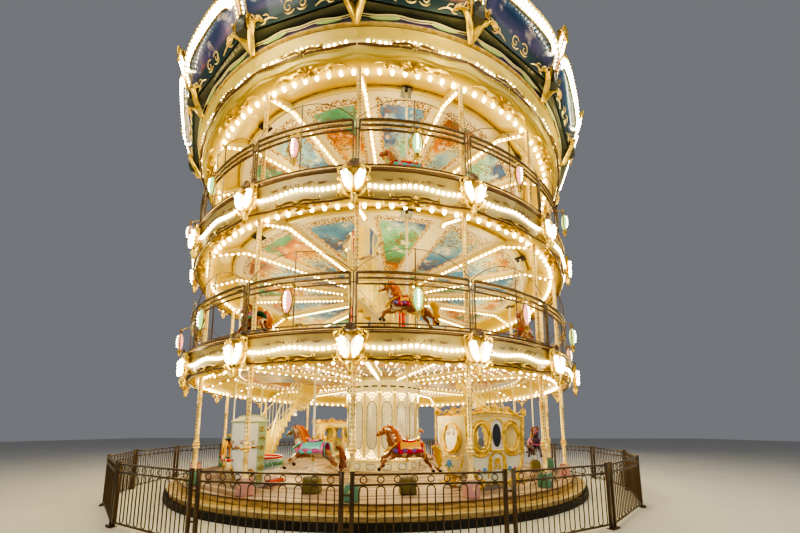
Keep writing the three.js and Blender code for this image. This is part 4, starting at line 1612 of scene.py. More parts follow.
def ceiling_paint(name, shift, glow):
    """Skies and hills for each bay in a border of curls, with glow as painted light. shift picks another
    draw for each storey.
    """
    material, tree, shader = new_material(name)
    radius, bay, across = polar(tree)
    low_edge = minus(tree, 0.5, off_from(tree, across, 0.5))
    lateral = times(tree, times(tree, low_edge, radius), BAY)
    warp = noise(tree, 0.9, 5.0)
    key = white_noise(tree, plus(tree, bay, shift))
    value = plus(tree, times(tree, radius, 0.20), times(tree, warp, 0.9))
    value = maths(tree, "FRACT", plus(tree, value, times(tree, key, 2.0)))
    scene_colour = ramp(tree, value, SUNSET)
    cloud = noise(tree, 3.2, 6.0)
    scene_colour = blended(
        tree,
        banded(tree, cloud, 0.0, 0.75, 0.56, 0.66),
        scene_colour,
        (0.92, 0.88, 0.76),
    )
    dab = cells(tree, 14.0)
    scene_colour = blended(tree, banded(tree, dab, 0.35, 0.0, 0.1, 0.6), scene_colour, (0.16, 0.10, 0.06))
    hills = noise(tree, 1.5, 1.0)
    rough = noise(tree, 15.0, 3.0)
    ruins = times(
        tree,
        banded(tree, hills, 0.0, 1.0, 0.47, 0.53),
        banded(tree, rough, 0.0, 0.8, 0.50, 0.56),
    )
    scene_colour = blended(tree, ruins, scene_colour, (0.24, 0.12, 0.05))
    loops = cells(tree, 9.0)
    curl = maths(tree, "PINGPONG", loops, 0.22)
    wave = times(tree, maths(tree, "SINE", times(tree, radius, 24.0)), 0.025)
    waved = plus(tree, lateral, wave)
    inside = banded(tree, waved, 0.0, 1.0, 0.295, 0.305)
    outer = banded(tree, radius, 1.0, 0.0, 4.70, 4.72)
    inner = banded(tree, radius, 0.0, 1.0, 1.66, 1.70)
    within = times(tree, outer, inner)
    field = times(tree, inside, within)
    beside = times(
        tree,
        banded(tree, lateral, 0.0, 1.0, 0.19, 0.23),
        banded(tree, radius, 1.0, 0.0, 4.88, 4.92),
    )
    stroke = times(tree, banded(tree, curl, 0.0, 1.0, 0.09, 0.14), beside)
    ground_colour = blended(tree, rough, (0.80, 0.70, 0.50), (0.92, 0.83, 0.62))
    lace_colour = blended(tree, stroke, ground_colour, (0.34, 0.18, 0.05))
    paint_colour = blended(tree, field, lace_colour, scene_colour)
    rim_low = off_from(tree, waved, 0.30)
    bead_mask = times(tree, banded(tree, rim_low, 1.0, 0.0, 0.012, 0.022), within)
    paint_colour = blended(tree, bead_mask, paint_colour, (0.62, 0.36, 0.08))
    # The paint gives off a little light of its own: a painted glow.
    plug(tree, shader, {"Base Color": paint_colour, "Emission Color": paint_colour})
    plug(tree, shader, {"Emission Strength": glow, "Roughness": plus(tree, 0.3, times(tree, cloud, 0.25))})
    bumped(tree, shader, curl, 0.15, 0.003)
    return material


repaint("ceiling_middle", ceiling_paint("ceiling_scenes_middle", 3.0, 0.10))
repaint("ceiling_upper", ceiling_paint("ceiling_scenes_upper", 11.0, 0.10))


# %% [markdown]
# The ground floor's ceiling is the ride's jewel box: beige panels with red and blue fields, thin gold
# lines that run out from the middle, and rows of small bulbs all over.


# %% The ground floor's ceiling
PANEL_PITCH = 0.62
PANEL_FIELDS = [
    (0.00, (0.25, 0.20, 0.25)),
    (0.42, (0.34, 0.22, 0.11)),
    (0.58, (0.40, 0.05, 0.03)),
    (0.74, (0.46, 0.20, 0.07)),
    (0.88, (0.13, 0.18, 0.34)),
]


def lattice_ceiling():
    material, tree, shader = new_material("ceiling_panels_lower")
    radius, bay, across = polar(tree)
    rings_at = maths(tree, "DIVIDE", radius, PANEL_PITCH)
    ring_share = maths(tree, "FRACT", rings_at)
    field = ramp(tree, picked(tree, bay, maths(tree, "FLOOR", rings_at)), PANEL_FIELDS)
    mask_ring = banded(tree, off_from(tree, ring_share, 0.5), 1.0, 0.0, 0.32, 0.36)
    mask_side = banded(tree, off_from(tree, across, 0.5), 1.0, 0.0, 0.34, 0.37)
    paint_colour = blended(tree, times(tree, mask_ring, mask_side), (0.42, 0.30, 0.13), field)
    rays = off_from(tree, maths(tree, "FRACT", times(tree, across, 4.0)), 0.5)
    paint_colour = blended(tree, banded(tree, rays, 0.0, 1.0, 0.46, 0.48), paint_colour, (0.70, 0.45, 0.10))
    fleck = cells(tree, 12.0)
    paint_colour = blended(tree, banded(tree, fleck, 0.5, 0.0, 0.05, 0.3), paint_colour, (0.40, 0.22, 0.12))
    # A faint painted glow: the ceiling gives off a little light of its own.
    plug(tree, shader, {"Base Color": paint_colour, "Emission Color": paint_colour})
    plug(tree, shader, {"Emission Strength": 0.03, "Roughness": 0.35})
    bumped(tree, shader, fleck, 0.15, 0.003)
    return material


repaint("ceiling_lower", lattice_ceiling())
LOW_CEILING = MIDDLE - 0.16
BULB_ROWS, FIRST_ROW_R, BULB_GAP = 13, 1.85, 0.27
ceiling_places = []
for row in range(BULB_ROWS):
    reach = FIRST_ROW_R + row * BULB_GAP
    count = max(2, round(reach * BAY / BULB_GAP))
    for azimuth in CORNERS:
        for i in range(count):
            here = azimuth + (i + 0.5) / count * BAY
            near = min(
                abs((here - (STAIR_AZIMUTH + s * math.pi) + math.pi) % (2 * math.pi) - math.pi)
                for s in (0, 1)
            )
            over_stair = near < 0.46 and 1.8 < reach < 4.75
            if not over_stair:
                ceiling_places.append(at_rim(reach, here, LOW_CEILING - 0.018))
select_only()
bpy.ops.mesh.primitive_ico_sphere_add(subdivisions=1, radius=0.017)
small_bulb = bpy.context.object
edit(small_bulb)
small_bulb = done("small_bulb", 80)
spread("ceiling_bulbs_lower", small_bulb, ceiling_places, soft_bulb)
print("ceiling bulbs", len(ceiling_places))

# %% [markdown]
# ## Crown
# Above the cornice runs a dark plum band with a wavy green ribbon, and then the leaning rounding
# boards with their painted scenes and double rows of bulbs. Acanthus consoles and lit pilasters stand
# at the corners. Each is modelled upright and leaned out by the boards' own angle.

# %% Band and ribbon
BAND_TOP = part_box("crown_band")[1][2]
BOARD_LEAN = 0.35
BOARD_R = 6.42
BOARD_FOOT = BAND_TOP + 0.045
BOARD_HALF = BOARD_R * math.tan(BAY / 2) - 0.03
BOARD_HEIGHT = 1.05
CORNER_R = (BOARD_R + 0.04) / math.cos(BAY / 2)

band = turned(
    "plum_band",
    closed([(6.24, ROOF - 0.005), (6.315, ROOF - 0.005), (6.30, BAND_TOP), (6.24, BAND_TOP)]),
    RING_SIDES,
)
band_paint, tree, shader = new_material("crown_band_paint")
drift = noise(tree, 0.5, 3.0)
band_colour = blended(
    tree,
    banded(tree, drift, 0.0, 1.0, 0.42, 0.56),
    (0.20, 0.24, 0.20),
    (0.16, 0.10, 0.26),
)
plug(tree, shader, {"Base Color": band_colour, "Roughness": plus(tree, 0.25, times(tree, drift, 0.25))})
bumped(tree, shader, drift, 0.1, 0.003)
dress(band, band_paint)
repaint("crown_band", band_paint)
top_bead = turned(
    "cornice_top_bead",
    closed([(6.27, ROOF - 0.02), (6.335, ROOF - 0.015), (6.335, ROOF + 0.005), (6.27, ROOF + 0.01)]),
    RING_SIDES,
)
dress(top_bead, straw_gold)


def lens(centre, half, height, points=14):
    """A leaf-shaped outline, flatter above than below."""
    top = [
        (centre + half * math.cos(a), 0.45 * height * math.sin(a))
        for a in np.linspace(math.pi, 0, points)
    ]
    low = [
        (centre + half * math.cos(a), height * math.sin(a))
        for a in np.linspace(0, -math.pi, points)[1:-1]
    ]
    return top + low


ribbon_knots = [
    (-1.24, 0.10), (-0.85, 0.03), (-0.45, 0.055), (0, 0.0), (0.42, 0.05), (0.85, 0.02),
    (1.24, 0.10),
]
ribbon = flowing("ribbon", ribbon_knots, 0.016, 0.02, ends=0.7)
low_ribbon = flowing("low_ribbon", [(x, z - 0.055) for x, z in ribbon_knots], 0.009, 0.02, ends=0.7)
RIBBON_R = 6.335
ribbons = bent_round(joined("ribbons", ribbon, low_ribbon), RIBBON_R)
ribbon_at = every_bay(BAND_TOP - 0.085)
spread("crown_ribbons", ribbons, ribbon_at, pale_cream)
greens = joined(
    "greens",
    plate("leaf", lens(-0.66, 0.33, 0.075), 0.025, 0.004),
    plate("leaf", lens(0.64, 0.30, 0.07), 0.025, 0.004),
)
cross_cut(greens, 0, np.linspace(-0.9, 0.9, 13))
greens = bent_round(moved(greens, offset(0, 0.012, 0.02)), RIBBON_R)
spread("crown_leaves", greens, ribbon_at, leaf_green)


# %% [markdown]
# The boards' pictures are again our own: dark skies, water and warm clouds behind the arch of bulbs.
# The pattern lies on each board because the boards are flat and large beside its waves.


# %% Boards, bulbs and frames
NIGHT = [
    (0.00, (0.02, 0.05, 0.14)),
    (0.20, (0.05, 0.18, 0.30)),
    (0.36, (0.10, 0.32, 0.26)),
    (0.50, (0.62, 0.50, 0.34)),
    (0.62, (0.70, 0.22, 0.12)),
    (0.76, (0.14, 0.10, 0.22)),
    (1.00, (0.02, 0.05, 0.14)),
]


def board_paint():
    """Night skies with clouds, another draw for each bay, and dark ground along the foot."""
    material, tree, shader = new_material("rounding_board_scenes")
    bay = polar(tree)[1]
    warp = noise(tree, 1.1, 6.0)
    level = minus(tree, apart(tree)[2], BOARD_FOOT)
    key = white_noise(tree, bay)
    value = plus(tree, times(tree, level, 0.7), times(tree, warp, 0.9))
    value = maths(tree, "FRACT", plus(tree, value, times(tree, key, 1.5)))
    scene_colour = ramp(tree, value, NIGHT)
    cloud = noise(tree, 3.4, 6.0)
    scene_colour = blended(
        tree,
        banded(tree, cloud, 0.0, 0.6, 0.56, 0.68),
        scene_colour,
        (0.72, 0.58, 0.50),
    )
    ground_mask = banded(tree, plus(tree, level, times(tree, warp, 0.2)), 1.0, 0.0, 0.28, 0.42)
    scene_colour = blended(tree, ground_mask, scene_colour, (0.03, 0.06, 0.07))
    roughness = plus(tree, 0.25, times(tree, cloud, 0.2))
    plug(tree, shader, {"Base Color": scene_colour, "Roughness": roughness, "Coat Weight": 0.4})
    bumped(tree, shader, cloud, 0.2, 0.004)
    return material


def arch_outline(inset=0.0, points=28):
    """The arch of a rounding board from shoulder to shoulder, drawn in by an inset."""
    half = BOARD_HALF - inset
    shoulder = BOARD_HEIGHT * 0.56
    rise = BOARD_HEIGHT - shoulder - inset
    made = []
    for a in np.linspace(0, math.pi, points):
        made.append(
            (
                half * math.copysign(abs(math.cos(a)) ** 0.8, math.cos(a)),
                shoulder + rise * math.sin(a) ** 0.8,
            )
        )
    return made


board_scene = plate(
    "board_scene",
    [(BOARD_HALF, 0.0)] + arch_outline() + [(-BOARD_HALF, 0.0)],
    0.022,
    0.004,
)
moved(board_scene, offset(0, -0.058, 0))
board_at = round_rim(BOARD_R, BOARD_FOOT, MID_BAYS, BOARD_LEAN)
spread("board_scenes", board_scene, board_at, board_paint(), "brown_paint")
board_black = enamel("board_black_green", (0.035, 0.04, 0.03), shine=0.25)
repaint("rounding_boards", board_black)

rim_path = [(BOARD_HALF, 0, 0.30)] + [(x, 0, z) for x, z in arch_outline(-0.015)] + [(-BOARD_HALF, 0, 0.30)]
outer_frame = moved(tube("frame", rim_path, 0.03, 6), offset(0, -0.075, 0))
inner_path = [(x, 0, z) for x, z in arch_outline(0.235)]
inner_frame = moved(tube("frame", inner_path, 0.014, 6), offset(0, -0.085, 0))
frames = joined("board_frames", outer_frame, inner_frame)
spread("board_frames", frames, board_at, gold)


def even_points(path, gap):
    """Points a gap apart along a line."""
    path = np.array(path)
    steps = np.r_[0, np.cumsum(np.hypot(*np.diff(path, axis=0).T))]
    spots = np.arange(gap / 2, steps[-1], gap)
    return list(zip(np.interp(spots, steps, path[:, 0]), np.interp(spots, steps, path[:, 1])))


arch_bulbs = []
for inset in (0.075, 0.17):
    for x, z in even_points(arch_outline(inset), 0.115):
        arch_bulbs += [place @ offset(x, -0.095, z) for place in board_at]
spread("board_bulbs", bulb(0.040), arch_bulbs, white_bulb)
print("bulbs round the boards", len(arch_bulbs))

# %% [markdown]
# Cream scrolls run along the foot of every board: a pair of C-scrolls in the middle and a branch of
# leaves towards each corner.

# %% Foot scrolls, consoles and pilasters
foot_parts = [
    curled("c_scroll", (0.16, 0.16), 0.12, 1.15, 2.6, -1, 0.018, 0.0, ends=0.4, points=18),
    flowing("c_back", [(0.03, 0.09), (0.10, 0.05), (0.20, 0.045), (0.27, 0.09)], 0.016),
    flowing("branch", [(0.44, 0.02), (0.62, 0.08), (0.80, 0.06), (0.98, 0.14), (1.14, 0.12)], 0.018),
    flowing("leaf", [(0.62, 0.08), (0.68, 0.15), (0.78, 0.15)], 0.016),
    flowing("leaf", [(0.82, 0.07), (0.86, 0.17), (0.96, 0.20)], 0.018),
    flowing("leaf", [(0.98, 0.14), (1.02, 0.22), (1.10, 0.24)], 0.018),
    flowing("leaf", [(0.70, 0.07), (0.76, 0.01), (0.86, 0.0)], 0.014),
]
foot_scroll = moved(pair(joined("foot_scroll", *foot_parts)), offset(0, -0.09, 0.02))
spread("board_foot_scrolls", foot_scroll, board_at, straw_gold)


def blade(name, knots, width, depth, steps=7):
    """A leaf blade: a strip along the knots, widest early on and ridged along its middle."""
    spine = smooth_through(knots, steps)
    count = len(spine)
    corners, faces = [], []
    for i, (x, z) in enumerate(spine):
        ahead, behind = spine[min(i + 1, count - 1)], spine[max(i - 1, 0)]
        along = np.array(ahead) - np.array(behind)
        side = np.array([-along[1], along[0]]) / (np.hypot(*along) + 1e-9)
        t = i / (count - 1)
        half = width * (0.25 + 0.75 * math.sin(math.pi * min(1, 0.12 + t * 0.9)))
        for share, out in ((-1, 0.0), (-0.5, depth * 0.7), (0, depth), (0.5, depth * 0.7), (1, 0.0)):
            corners.append((x + side[0] * half * share, -out, z + side[1] * half * share))
        corners.append((x, 0.02, z))
    for i in range(count - 1):
        a, b = 6 * i, 6 * (i + 1)
        for k in range(6):
            n = (k + 1) % 6
            faces.append((a + k, a + n, b + n, b + k))
    faces.append(tuple(range(5, -1, -1)))
    faces.append(tuple(range(6 * count - 6, 6 * count)))
    edit(from_lists(name, corners, [], faces))
    return done(name, 50)


console_half = joined(
    "console",
    blade("acanthus", [(0.0, -0.20), (0.05, -0.04), (0.15, 0.12), (0.30, 0.20)], 0.075, 0.09),
    blade("acanthus", [(0.27, 0.20), (0.40, 0.20), (0.46, 0.13)], 0.035, 0.05),
)
console = pair(console_half)
console_at = [at_rim(6.49, a, BAND_TOP - 0.08, 0.66) @ Matrix.Scale(1.15, 4) for a in CORNERS]
spread("acanthus_consoles", console, console_at, gold)
bunch = [
    curled("bunch", (0.09, 0.16), 0.07, 1.4, 2.4, -1, 0.022, 0.03, ends=0.5),
    curled("bunch", (0.19, 0.26), 0.06, 1.3, 1.4, -1, 0.020, 0.03, ends=0.5),
    flowing("bunch", [(0.0, 0.05), (0.03, 0.16), (0.0, 0.27)], 0.026, 0.05),
    flowing("bunch", [(0.05, 0.08), (0.14, 0.20), (0.13, 0.31)], 0.022, 0.04),
]
bunch = moved(pair(joined("bunch", *bunch)), offset(0, 0.02, 0.03))
spread("console_shells", bunch, console_at, old_gold)

pilaster_at = round_rim(CORNER_R + 0.05, BAND_TOP + 0.30, CORNERS, BOARD_LEAN)
# The rose strips glow: painted light from the bulbs on them.
lit_strips = joined(
    "strips", *[bar("strip", (0.125, 0.06, 0.80), (x, -0.02, 0.42), 0.03) for x in (-0.085, 0.085)]
)
pink_strip = lit("pilaster_rose_glow", (1.0, 0.62, 0.62), 1.1)
spread("pilaster_strips", lit_strips, pilaster_at, pink_strip)
strip_bulbs = [
    place @ offset(x, -0.06, 0.06 + 0.088 * i)
    for place in pilaster_at for i in range(9) for x in (-0.085, 0.085)
]
spread("pilaster_bulbs", bulb(0.034), strip_bulbs, white_bulb)
gold_strips = [bar("gold_strip", (0.028, 0.09, 0.86), (x, -0.02, 0.43), 0.01) for x in (-0.165, 0, 0.165)]
cap_parts = [
    bar("cap", (0.42, 0.13, 0.05), (0, -0.02, 0.87), 0.015),
    bar("base", (0.40, 0.12, 0.05), (0, -0.02, -0.01), 0.015),
    moved(shell_boss(0.19, 0.17, 9, 0.05), offset(0, 0, 0.89)),
]
spread("pilaster_gilding", joined("pilaster", *gold_strips, *cap_parts), pilaster_at, gold)


# %% [markdown]
# ## Roof
# The photo stops short of the roof. A ride of this kind has a low striped tilt over radial ribs, with
# a gilded crown on top, so it has that here, with one stripe to half a bay.


# %% Roof and finial
def tilt_stripes():
    material, tree, shader = new_material("roof_striped_cloth")
    stripe = banded(tree, off_from(tree, polar(tree)[2], 0.5), 0.0, 1.0, 0.245, 0.255)
    weave = noise(tree, 60.0, 2.0)
    stain = noise(tree, 0.9, 4.0)
    cloth = blended(tree, stripe, (0.80, 0.62, 0.30), (0.50, 0.06, 0.05))
    cloth = blended(tree, banded(tree, stain, 0.0, 0.3, 0.45, 0.75), cloth, (0.25, 0.20, 0.16))
    plug(tree, shader, {"Base Color": cloth, "Roughness": 0.75})
    bumped(tree, shader, weave, 0.3, 0.002)
    return material


repaint("roof_canopy", tilt_stripes())
roof_rib = tube(
    "roof_rib",
    [(0, -6.16, 10.47), (0, -4.6, 11.20), (0, -3.0, 11.93), (0, -1.7, 12.52), (0, -0.45, 13.08)],
    0.035,
    8,
)
spread("roof_ribs", roof_rib, [turn(a) for a in CORNERS], gold)
roof_lights = [
    turn(a) @ offset(0, -r, 10.51 + (6.16 - r) * 0.4625)
    for a in CORNERS for r in np.arange(0.9, 6.1, 0.26)
]
spread("roof_bulbs", bulb(0.034), roof_lights, warm_bulb)
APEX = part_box("roof_canopy")[1][2]
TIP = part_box("finial")[1][2]
crown_shape = [
    (0, APEX - 0.40), (0.38, APEX - 0.40), (0.38, APEX), (0.50, APEX + 0.01), (0.535, APEX + 0.05),
    (0.50, APEX + 0.09),
]
crown_shape += [
    (0.46, APEX + 0.16), (0.44, APEX + 0.28), (0.31, APEX + 0.48), (0.15, APEX + 0.56),
    (0.10, APEX + 0.62), (0.14, APEX + 0.66),
]
crown_shape += [
    (0.235, APEX + 0.80), (0.24, APEX + 0.90), (0.15, APEX + 1.0), (0.06, APEX + 1.08),
    (0.045, APEX + 1.28), (0, TIP),
]
finial_piece = turned("finial_crown", crown_shape, 48)
dress(finial_piece, gold)
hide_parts("finial")
print("apex", round(APEX, 2), "tip", round(TIP, 2))

# %% [markdown]
# ## Drum
# The drum hides the drive, so it is the ride's stage set. On the ground floor it has sixteen long
# panels edged in dark beads, fans of bulbs above and below them, and small cartouches round its foot.
# The upper storeys have fluted pilasters with arched doors and carved drapery between them.

# %% Drum panels
DRUM_FACE = CORE_R * math.cos(BAY / 2)


def scalloped_outline(half, low, high, scallops=5, points=4):
    """A long round-ended panel whose sides bulge between small waists."""
    right = []
    shoulder = half * 1.1
    span = high - low - 2 * shoulder
    for i in range(scallops):
        for k in range(points):
            t = k / points
            z = low + shoulder + span * (i + t) / scallops
            right.append((half * (0.86 + 0.14 * math.sin(math.pi * t) ** 0.6), z))
    top = [
        (half * 0.86 * math.cos(a), high - shoulder + shoulder * math.sin(a))
        for a in np.linspace(0, math.pi, 9)
    ]
    left = [(-x, z) for x, z in reversed(right)]
    bottom = [
        (half * 0.86 * math.cos(a), low + shoulder + shoulder * math.sin(a))
        for a in np.linspace(math.pi, 2 * math.pi, 9)
    ]
    return right + top + left + bottom[1:-1]


PANEL_LOW, PANEL_HIGH = 1.08, 2.64
outline = scalloped_outline(0.175, PANEL_LOW, PANEL_HIGH)
drum_at = round_rim(DRUM_FACE + 0.002, 0, MID_BAYS)
panels = copies("drum_panels", plate("panel", outline, 0.012, 0.003), drum_at)
dress(panels, panel_white)
bead_line = tube("bead_line", [(x, -0.013, z) for x, z in outline], 0.008, 4, loop=True)
points_out = [
    bar("bead_point", (0.05, 0.012, 0.014), (side * 0.168, -0.013, PANEL_LOW + 0.19 + i * 0.236), 0.003)
    for side in (-1, 1)
    for i in range(6)
]
octagon = [
    (0.15 * sx, 0.52 + dz)
    for sx, dz in (
        (1, -0.05), (1, 0.05), (0.72, 0.09), (-0.72, 0.09), (-1, 0.05), (-1, -0.05),
        (-0.72, -0.09), (0.72, -0.09),
    )
]
foot_line = moved(
    tube("foot_line", [(x, -0.013, z) for x, z in octagon], 0.008, 4, loop=True),
    offset(0, -0.062, 0),
)
spread(
    "drum_beading",
    joined("beading", bead_line, *points_out, foot_line),
    drum_at,
    dark_bead,
    "brown_paint",
)
foot_panel = moved(plate("foot_panel", octagon, 0.012, 0.003), offset(0, -0.060, 0))
spread("drum_foot_panels", foot_panel, drum_at, panel_white, "cream_paint")
pilaster = bar("drum_pilaster", (0.075, 0.03, 2.35), (0, 0, 1.90), 0.012)
pilaster_foot = bar("drum_pilaster_foot", (0.10, 0.045, 0.10), (0, 0, 0.80), 0.012)
drum_corner_at = round_rim(CORE_R, 0, CORNERS)
spread("drum_pilasters", joined("pilaster", pilaster, pilaster_foot), drum_corner_at, cream, "cream_paint")
ledge_ring = turned(
    "drum_ledge",
    closed([(1.29, 0.70), (1.40, 0.68), (1.41, 0.71), (1.385, 0.735), (1.29, 0.755)]),
    48,
)
dress(ledge_ring, pale_cream)
# The lower drum's cream has a painted glow.
drum_cream = enamel("drum_cream_enamel", (0.94, 0.86, 0.58), glow=0.05)
repaint("core_lower", drum_cream)
for name in ("core_middle", "core_upper"):
    repaint(name, cream)

# %% Fans of bulbs and the dashes
fan = [
    (-0.21, 0.0), (-0.14, 0.085), (-0.07, 0.17), (0, 0.25), (0.07, 0.17), (0.14, 0.085),
    (0.21, 0.0), (0, 0.13), (0, 0.03), (-0.07, 0.04), (0.07, 0.04),
]
fan_places = []
for place in drum_at:
    for x, z in fan:
        fan_places.append(place @ offset(x, -0.03, 0.775 + z))
        fan_places.append(place @ offset(x, -0.03, 2.95 - z))
spread("drum_fan_bulbs", bulb(0.020), fan_places, soft_bulb)
# The fan plates glow between the bulbs: a painted glow round them.
fan_glow = lit("fan_glow", (0.95, 0.74, 0.30), 0.30)
fans = joined(
    "fans",
    plate("fan", [(-0.23, 0.765), (0.23, 0.765), (0, 1.05)], 0.012, 0.002),
    plate("fan", [(-0.23, 2.965), (0, 2.68), (0.23, 2.965)], 0.012, 0.002),
)
spread("drum_fans_painted_glow", moved(fans, offset(0, -0.004, 0)), drum_at, fan_glow)
dash = bar("dash", (0.20, 0.02, 0.05), (0, 0, 0), 0.006)
DASHES, DASH_R = 28, 1.375
dash_places = [at_rim(DASH_R, (i + 0.5) * 2 * math.pi / DASHES, MIDDLE - 0.46) for i in range(DASHES)]
spread("drum_dashes", dash, dash_places, dark_bead, "brown_paint")

# %% The upper drums
flute_profile = [-0.075, -0.025, 0.025, 0.075]
drape_blue = enamel("drape_blue_enamel", (0.10, 0.17, 0.42))
# The doors glow yellow: painted light.
door_yellow = enamel("door_yellow_enamel", (0.95, 0.70, 0.18), glow=0.12)


def swag(width, drop, folds=6):
    """Carved drapery that falls from a rod, deeper to one side."""
    top = [(width / 2, 0.0), (-width / 2, 0.0)]
    low = []
    for i in range(folds * 4 + 1):
        t = i / (folds * 4)
        low.append(
            (-width / 2 + width * t, -drop * (0.55 + 0.45 * t) + 0.02 * math.sin(t * folds * 2 * math.pi))
        )
    return plate("swag", low + top, 0.03, 0.006)


for storey in ("middle", "upper"):
    base, top = STOREYS[storey]
    flutes = [tube("flute", [(x, -0.004, 0.38), (x, -0.004, 2.72)], 0.021, 6) for x in flute_profile]
    fluted = joined(
        "fluted",
        bar("back", (0.24, 0.02, 2.5), (0, 0, 1.55), 0.005),
        *flutes,
        bar("head", (0.30, 0.06, 0.12), (0, 0, 2.80), 0.012),
    )
    spread(
        f"drum_flutes_{storey}",
        fluted,
        round_rim(CORE_R + 0.01, base, CORNERS),
        pale_cream,
        "cream_paint",
    )
    arch = [(0.17, 0.36)] + [
        (0.17 * math.cos(a), 2.0 + 0.24 * math.sin(a))
        for a in np.linspace(0, math.pi, 11)
    ] + [(-0.17, 0.36)]
    doors = copies(
        f"drum_doors_{storey}",
        plate("door", arch, 0.02, 0.004),
        round_rim(DRUM_FACE + 0.002, base, MID_BAYS[::2]),
    )
    dress(doors, door_yellow)
    door_frame = tube("door_frame", [(x, -0.024, z) for x, z in arch], 0.016, 6)
    spread(f"drum_door_frames_{storey}", door_frame, round_rim(DRUM_FACE, base, MID_BAYS[::2]), gold)
    for first, finish, side in ((1, signal_red, 1), (3, drape_blue, -1)):
        seed = moved(swag(0.36, 1.9), offset(0, -0.004, 2.55))
        if side < 0:
            moved(seed, MIRROR)
        drapes = copies(
            f"drum_drapery_{storey}_{first}",
            seed,
            round_rim(DRUM_FACE + 0.002, base, MID_BAYS[first::4]),
        )
        dress(drapes, finish)
print("drum panels", len(drum_at))

# %% [markdown]
# ## Stair rails
# The winding stairs are open treads between cream strings. The construction gives the treads. Two
# handrails follow them as helices, with thin balusters down to every tread.

# %% Stair rails and strings
STAIR_SWEEP, STAIR_FROM = -2.6, 0.2
HANDRAIL_HEIGHT = 0.88
STAIRS = [("lower", 0, FLOOR_TOP, MIDDLE), ("middle", 1, MIDDLE, UPPER)]


def on_stair(radius, share, height):
    """A point beside the stair's axis, from its radius, its share of the turn and its height."""
    angle = STAIR_FROM + STAIR_SWEEP * share
    return (radius * math.sin(angle), -radius * math.cos(angle), height)


def stair_rails(bottom, top):
    """The rails and balusters on both sides of one winding stair, about its own axis."""
    rise = top - bottom
    parts = []
    for radius, balusters in ((1.275, 24), (0.575, 12)):
        shares = np.linspace(0.01, 0.925, 40)
        level = [bottom + rise * (s + 0.045) for s in shares]
        parts.append(
            tube(
                "handrail",
                [on_stair(radius, s, z + HANDRAIL_HEIGHT) for s, z in zip(shares, level)],
                0.022,
                8,
            )
        )
        parts.append(
            tube("mid_rail", [on_stair(radius, s, z + 0.12) for s, z in zip(shares, level)], 0.012, 6)
        )
        parts.append(
            tube("string", [on_stair(radius + 0.022, s, z - 0.10) for s, z in zip(shares, level)], 0.035, 6)
        )
        for s in np.linspace(0.015, 0.92, balusters):
            z = bottom + rise * (s + 0.045)
            parts.append(
                tube(
                    "baluster",
                    [on_stair(radius, s, z), on_stair(radius, s, z + HANDRAIL_HEIGHT)],
                    0.010,
                    4,
                )
            )
    return joined("stair_rails", *parts)


for storey, number, bottom, top in STAIRS:
    seed = stair_rails(bottom, top)
    places = [
        turn(STAIR_AZIMUTH + s * math.pi + number * math.pi / 2) @ offset(0, -STAIR_AXIS_R, 0)
        for s in (0, 1)
    ]
    rails_piece = spread(f"stair_rails_{storey}", seed, places, pale_cream, "cream_paint")
    print(rails_piece.name, len(rails_piece.data.polygons), "faces")
for name in ("stair_lower_1", "stair_lower_2", "stair_upper_1", "stair_upper_2"):
    repaint(name, cove_yellow)
for name in ("sweeps_lower", "sweeps_middle", "sweeps_upper"):
    repaint(name, pale_cream)
repaint("crank_sleeves", pale_cream)

# %% [markdown]
# ## Horses
# A carousel horse is carved in blocks: barrel, neck, head and legs, then painted like porcelain. The
# same order works here. A stick figure with a thickness at each joint is skinned and smoothed into the
# body, and mane, tail, saddle and harness are laid on as separate carvings.


# %% Coats and trappings
def coat(name, base, patch, amount, scale=4.5):
    """Glossy paint with soft patches. amount is the share of the coat that they cover."""
    material, tree, shader = new_material(name)
    blot = noise(tree, scale, 2.0)
    brush = noise(tree, 60.0, 2.0)
    edge = 0.72 - 0.42 * amount
    share = banded(tree, blot, 0.0, 1.0, edge - 0.05, edge + 0.04)
    hide = blended(tree, share, base, patch)
    roughness = plus(tree, 0.18, times(tree, brush, 0.2))
    plug(tree, shader, {"Base Color": hide, "Roughness": roughness, "Coat Weight": 0.5})
    bumped(tree, shader, brush, 0.1, 0.002)
    return material


coats = {
    "pied": coat("coat_pied", (0.82, 0.64, 0.38), (0.34, 0.11, 0.03), 0.68, 6.0),
    "tan": coat("coat_tan", (0.78, 0.60, 0.38), (0.30, 0.11, 0.04), 0.55),
    "night": coat("coat_night", (0.035, 0.02, 0.05), (0.10, 0.06, 0.13), 0.5),
    "ivory": coat("coat_ivory", (0.88, 0.82, 0.70), (0.75, 0.62, 0.45), 0.3),
    "chestnut": coat("coat_chestnut", (0.42, 0.17, 0.06), (0.78, 0.60, 0.40), 0.25),
}
orange_mane = enamel("mane_orange", (0.85, 0.24, 0.04), shine=0.2)
amber_mane = enamel("mane_amber", (0.92, 0.55, 0.08), shine=0.2)
brown_mane = enamel("mane_brown", (0.30, 0.09, 0.03), shine=0.2)
pale_mane = enamel("mane_pale", (0.82, 0.70, 0.45), shine=0.2)
rose_trap = enamel("trapping_rose", (0.78, 0.16, 0.42), shine=0.2)
turquoise_trap = enamel("trapping_turquoise", (0.10, 0.62, 0.62), shine=0.2)
red_trap = enamel("trapping_red", (0.62, 0.02, 0.06), shine=0.2)
violet_trap = enamel("trapping_violet", (0.22, 0.12, 0.52), shine=0.2)
green_trap = enamel("trapping_green", (0.05, 0.40, 0.16), shine=0.2)
amber_trap = enamel("trapping_amber", (0.95, 0.48, 0.06), shine=0.2)
hoof_black = enamel("hoof_black", (0.03, 0.02, 0.02), shine=0.2)
pole_white = enamel("pole_ivory", (0.90, 0.84, 0.70), shine=0.15)


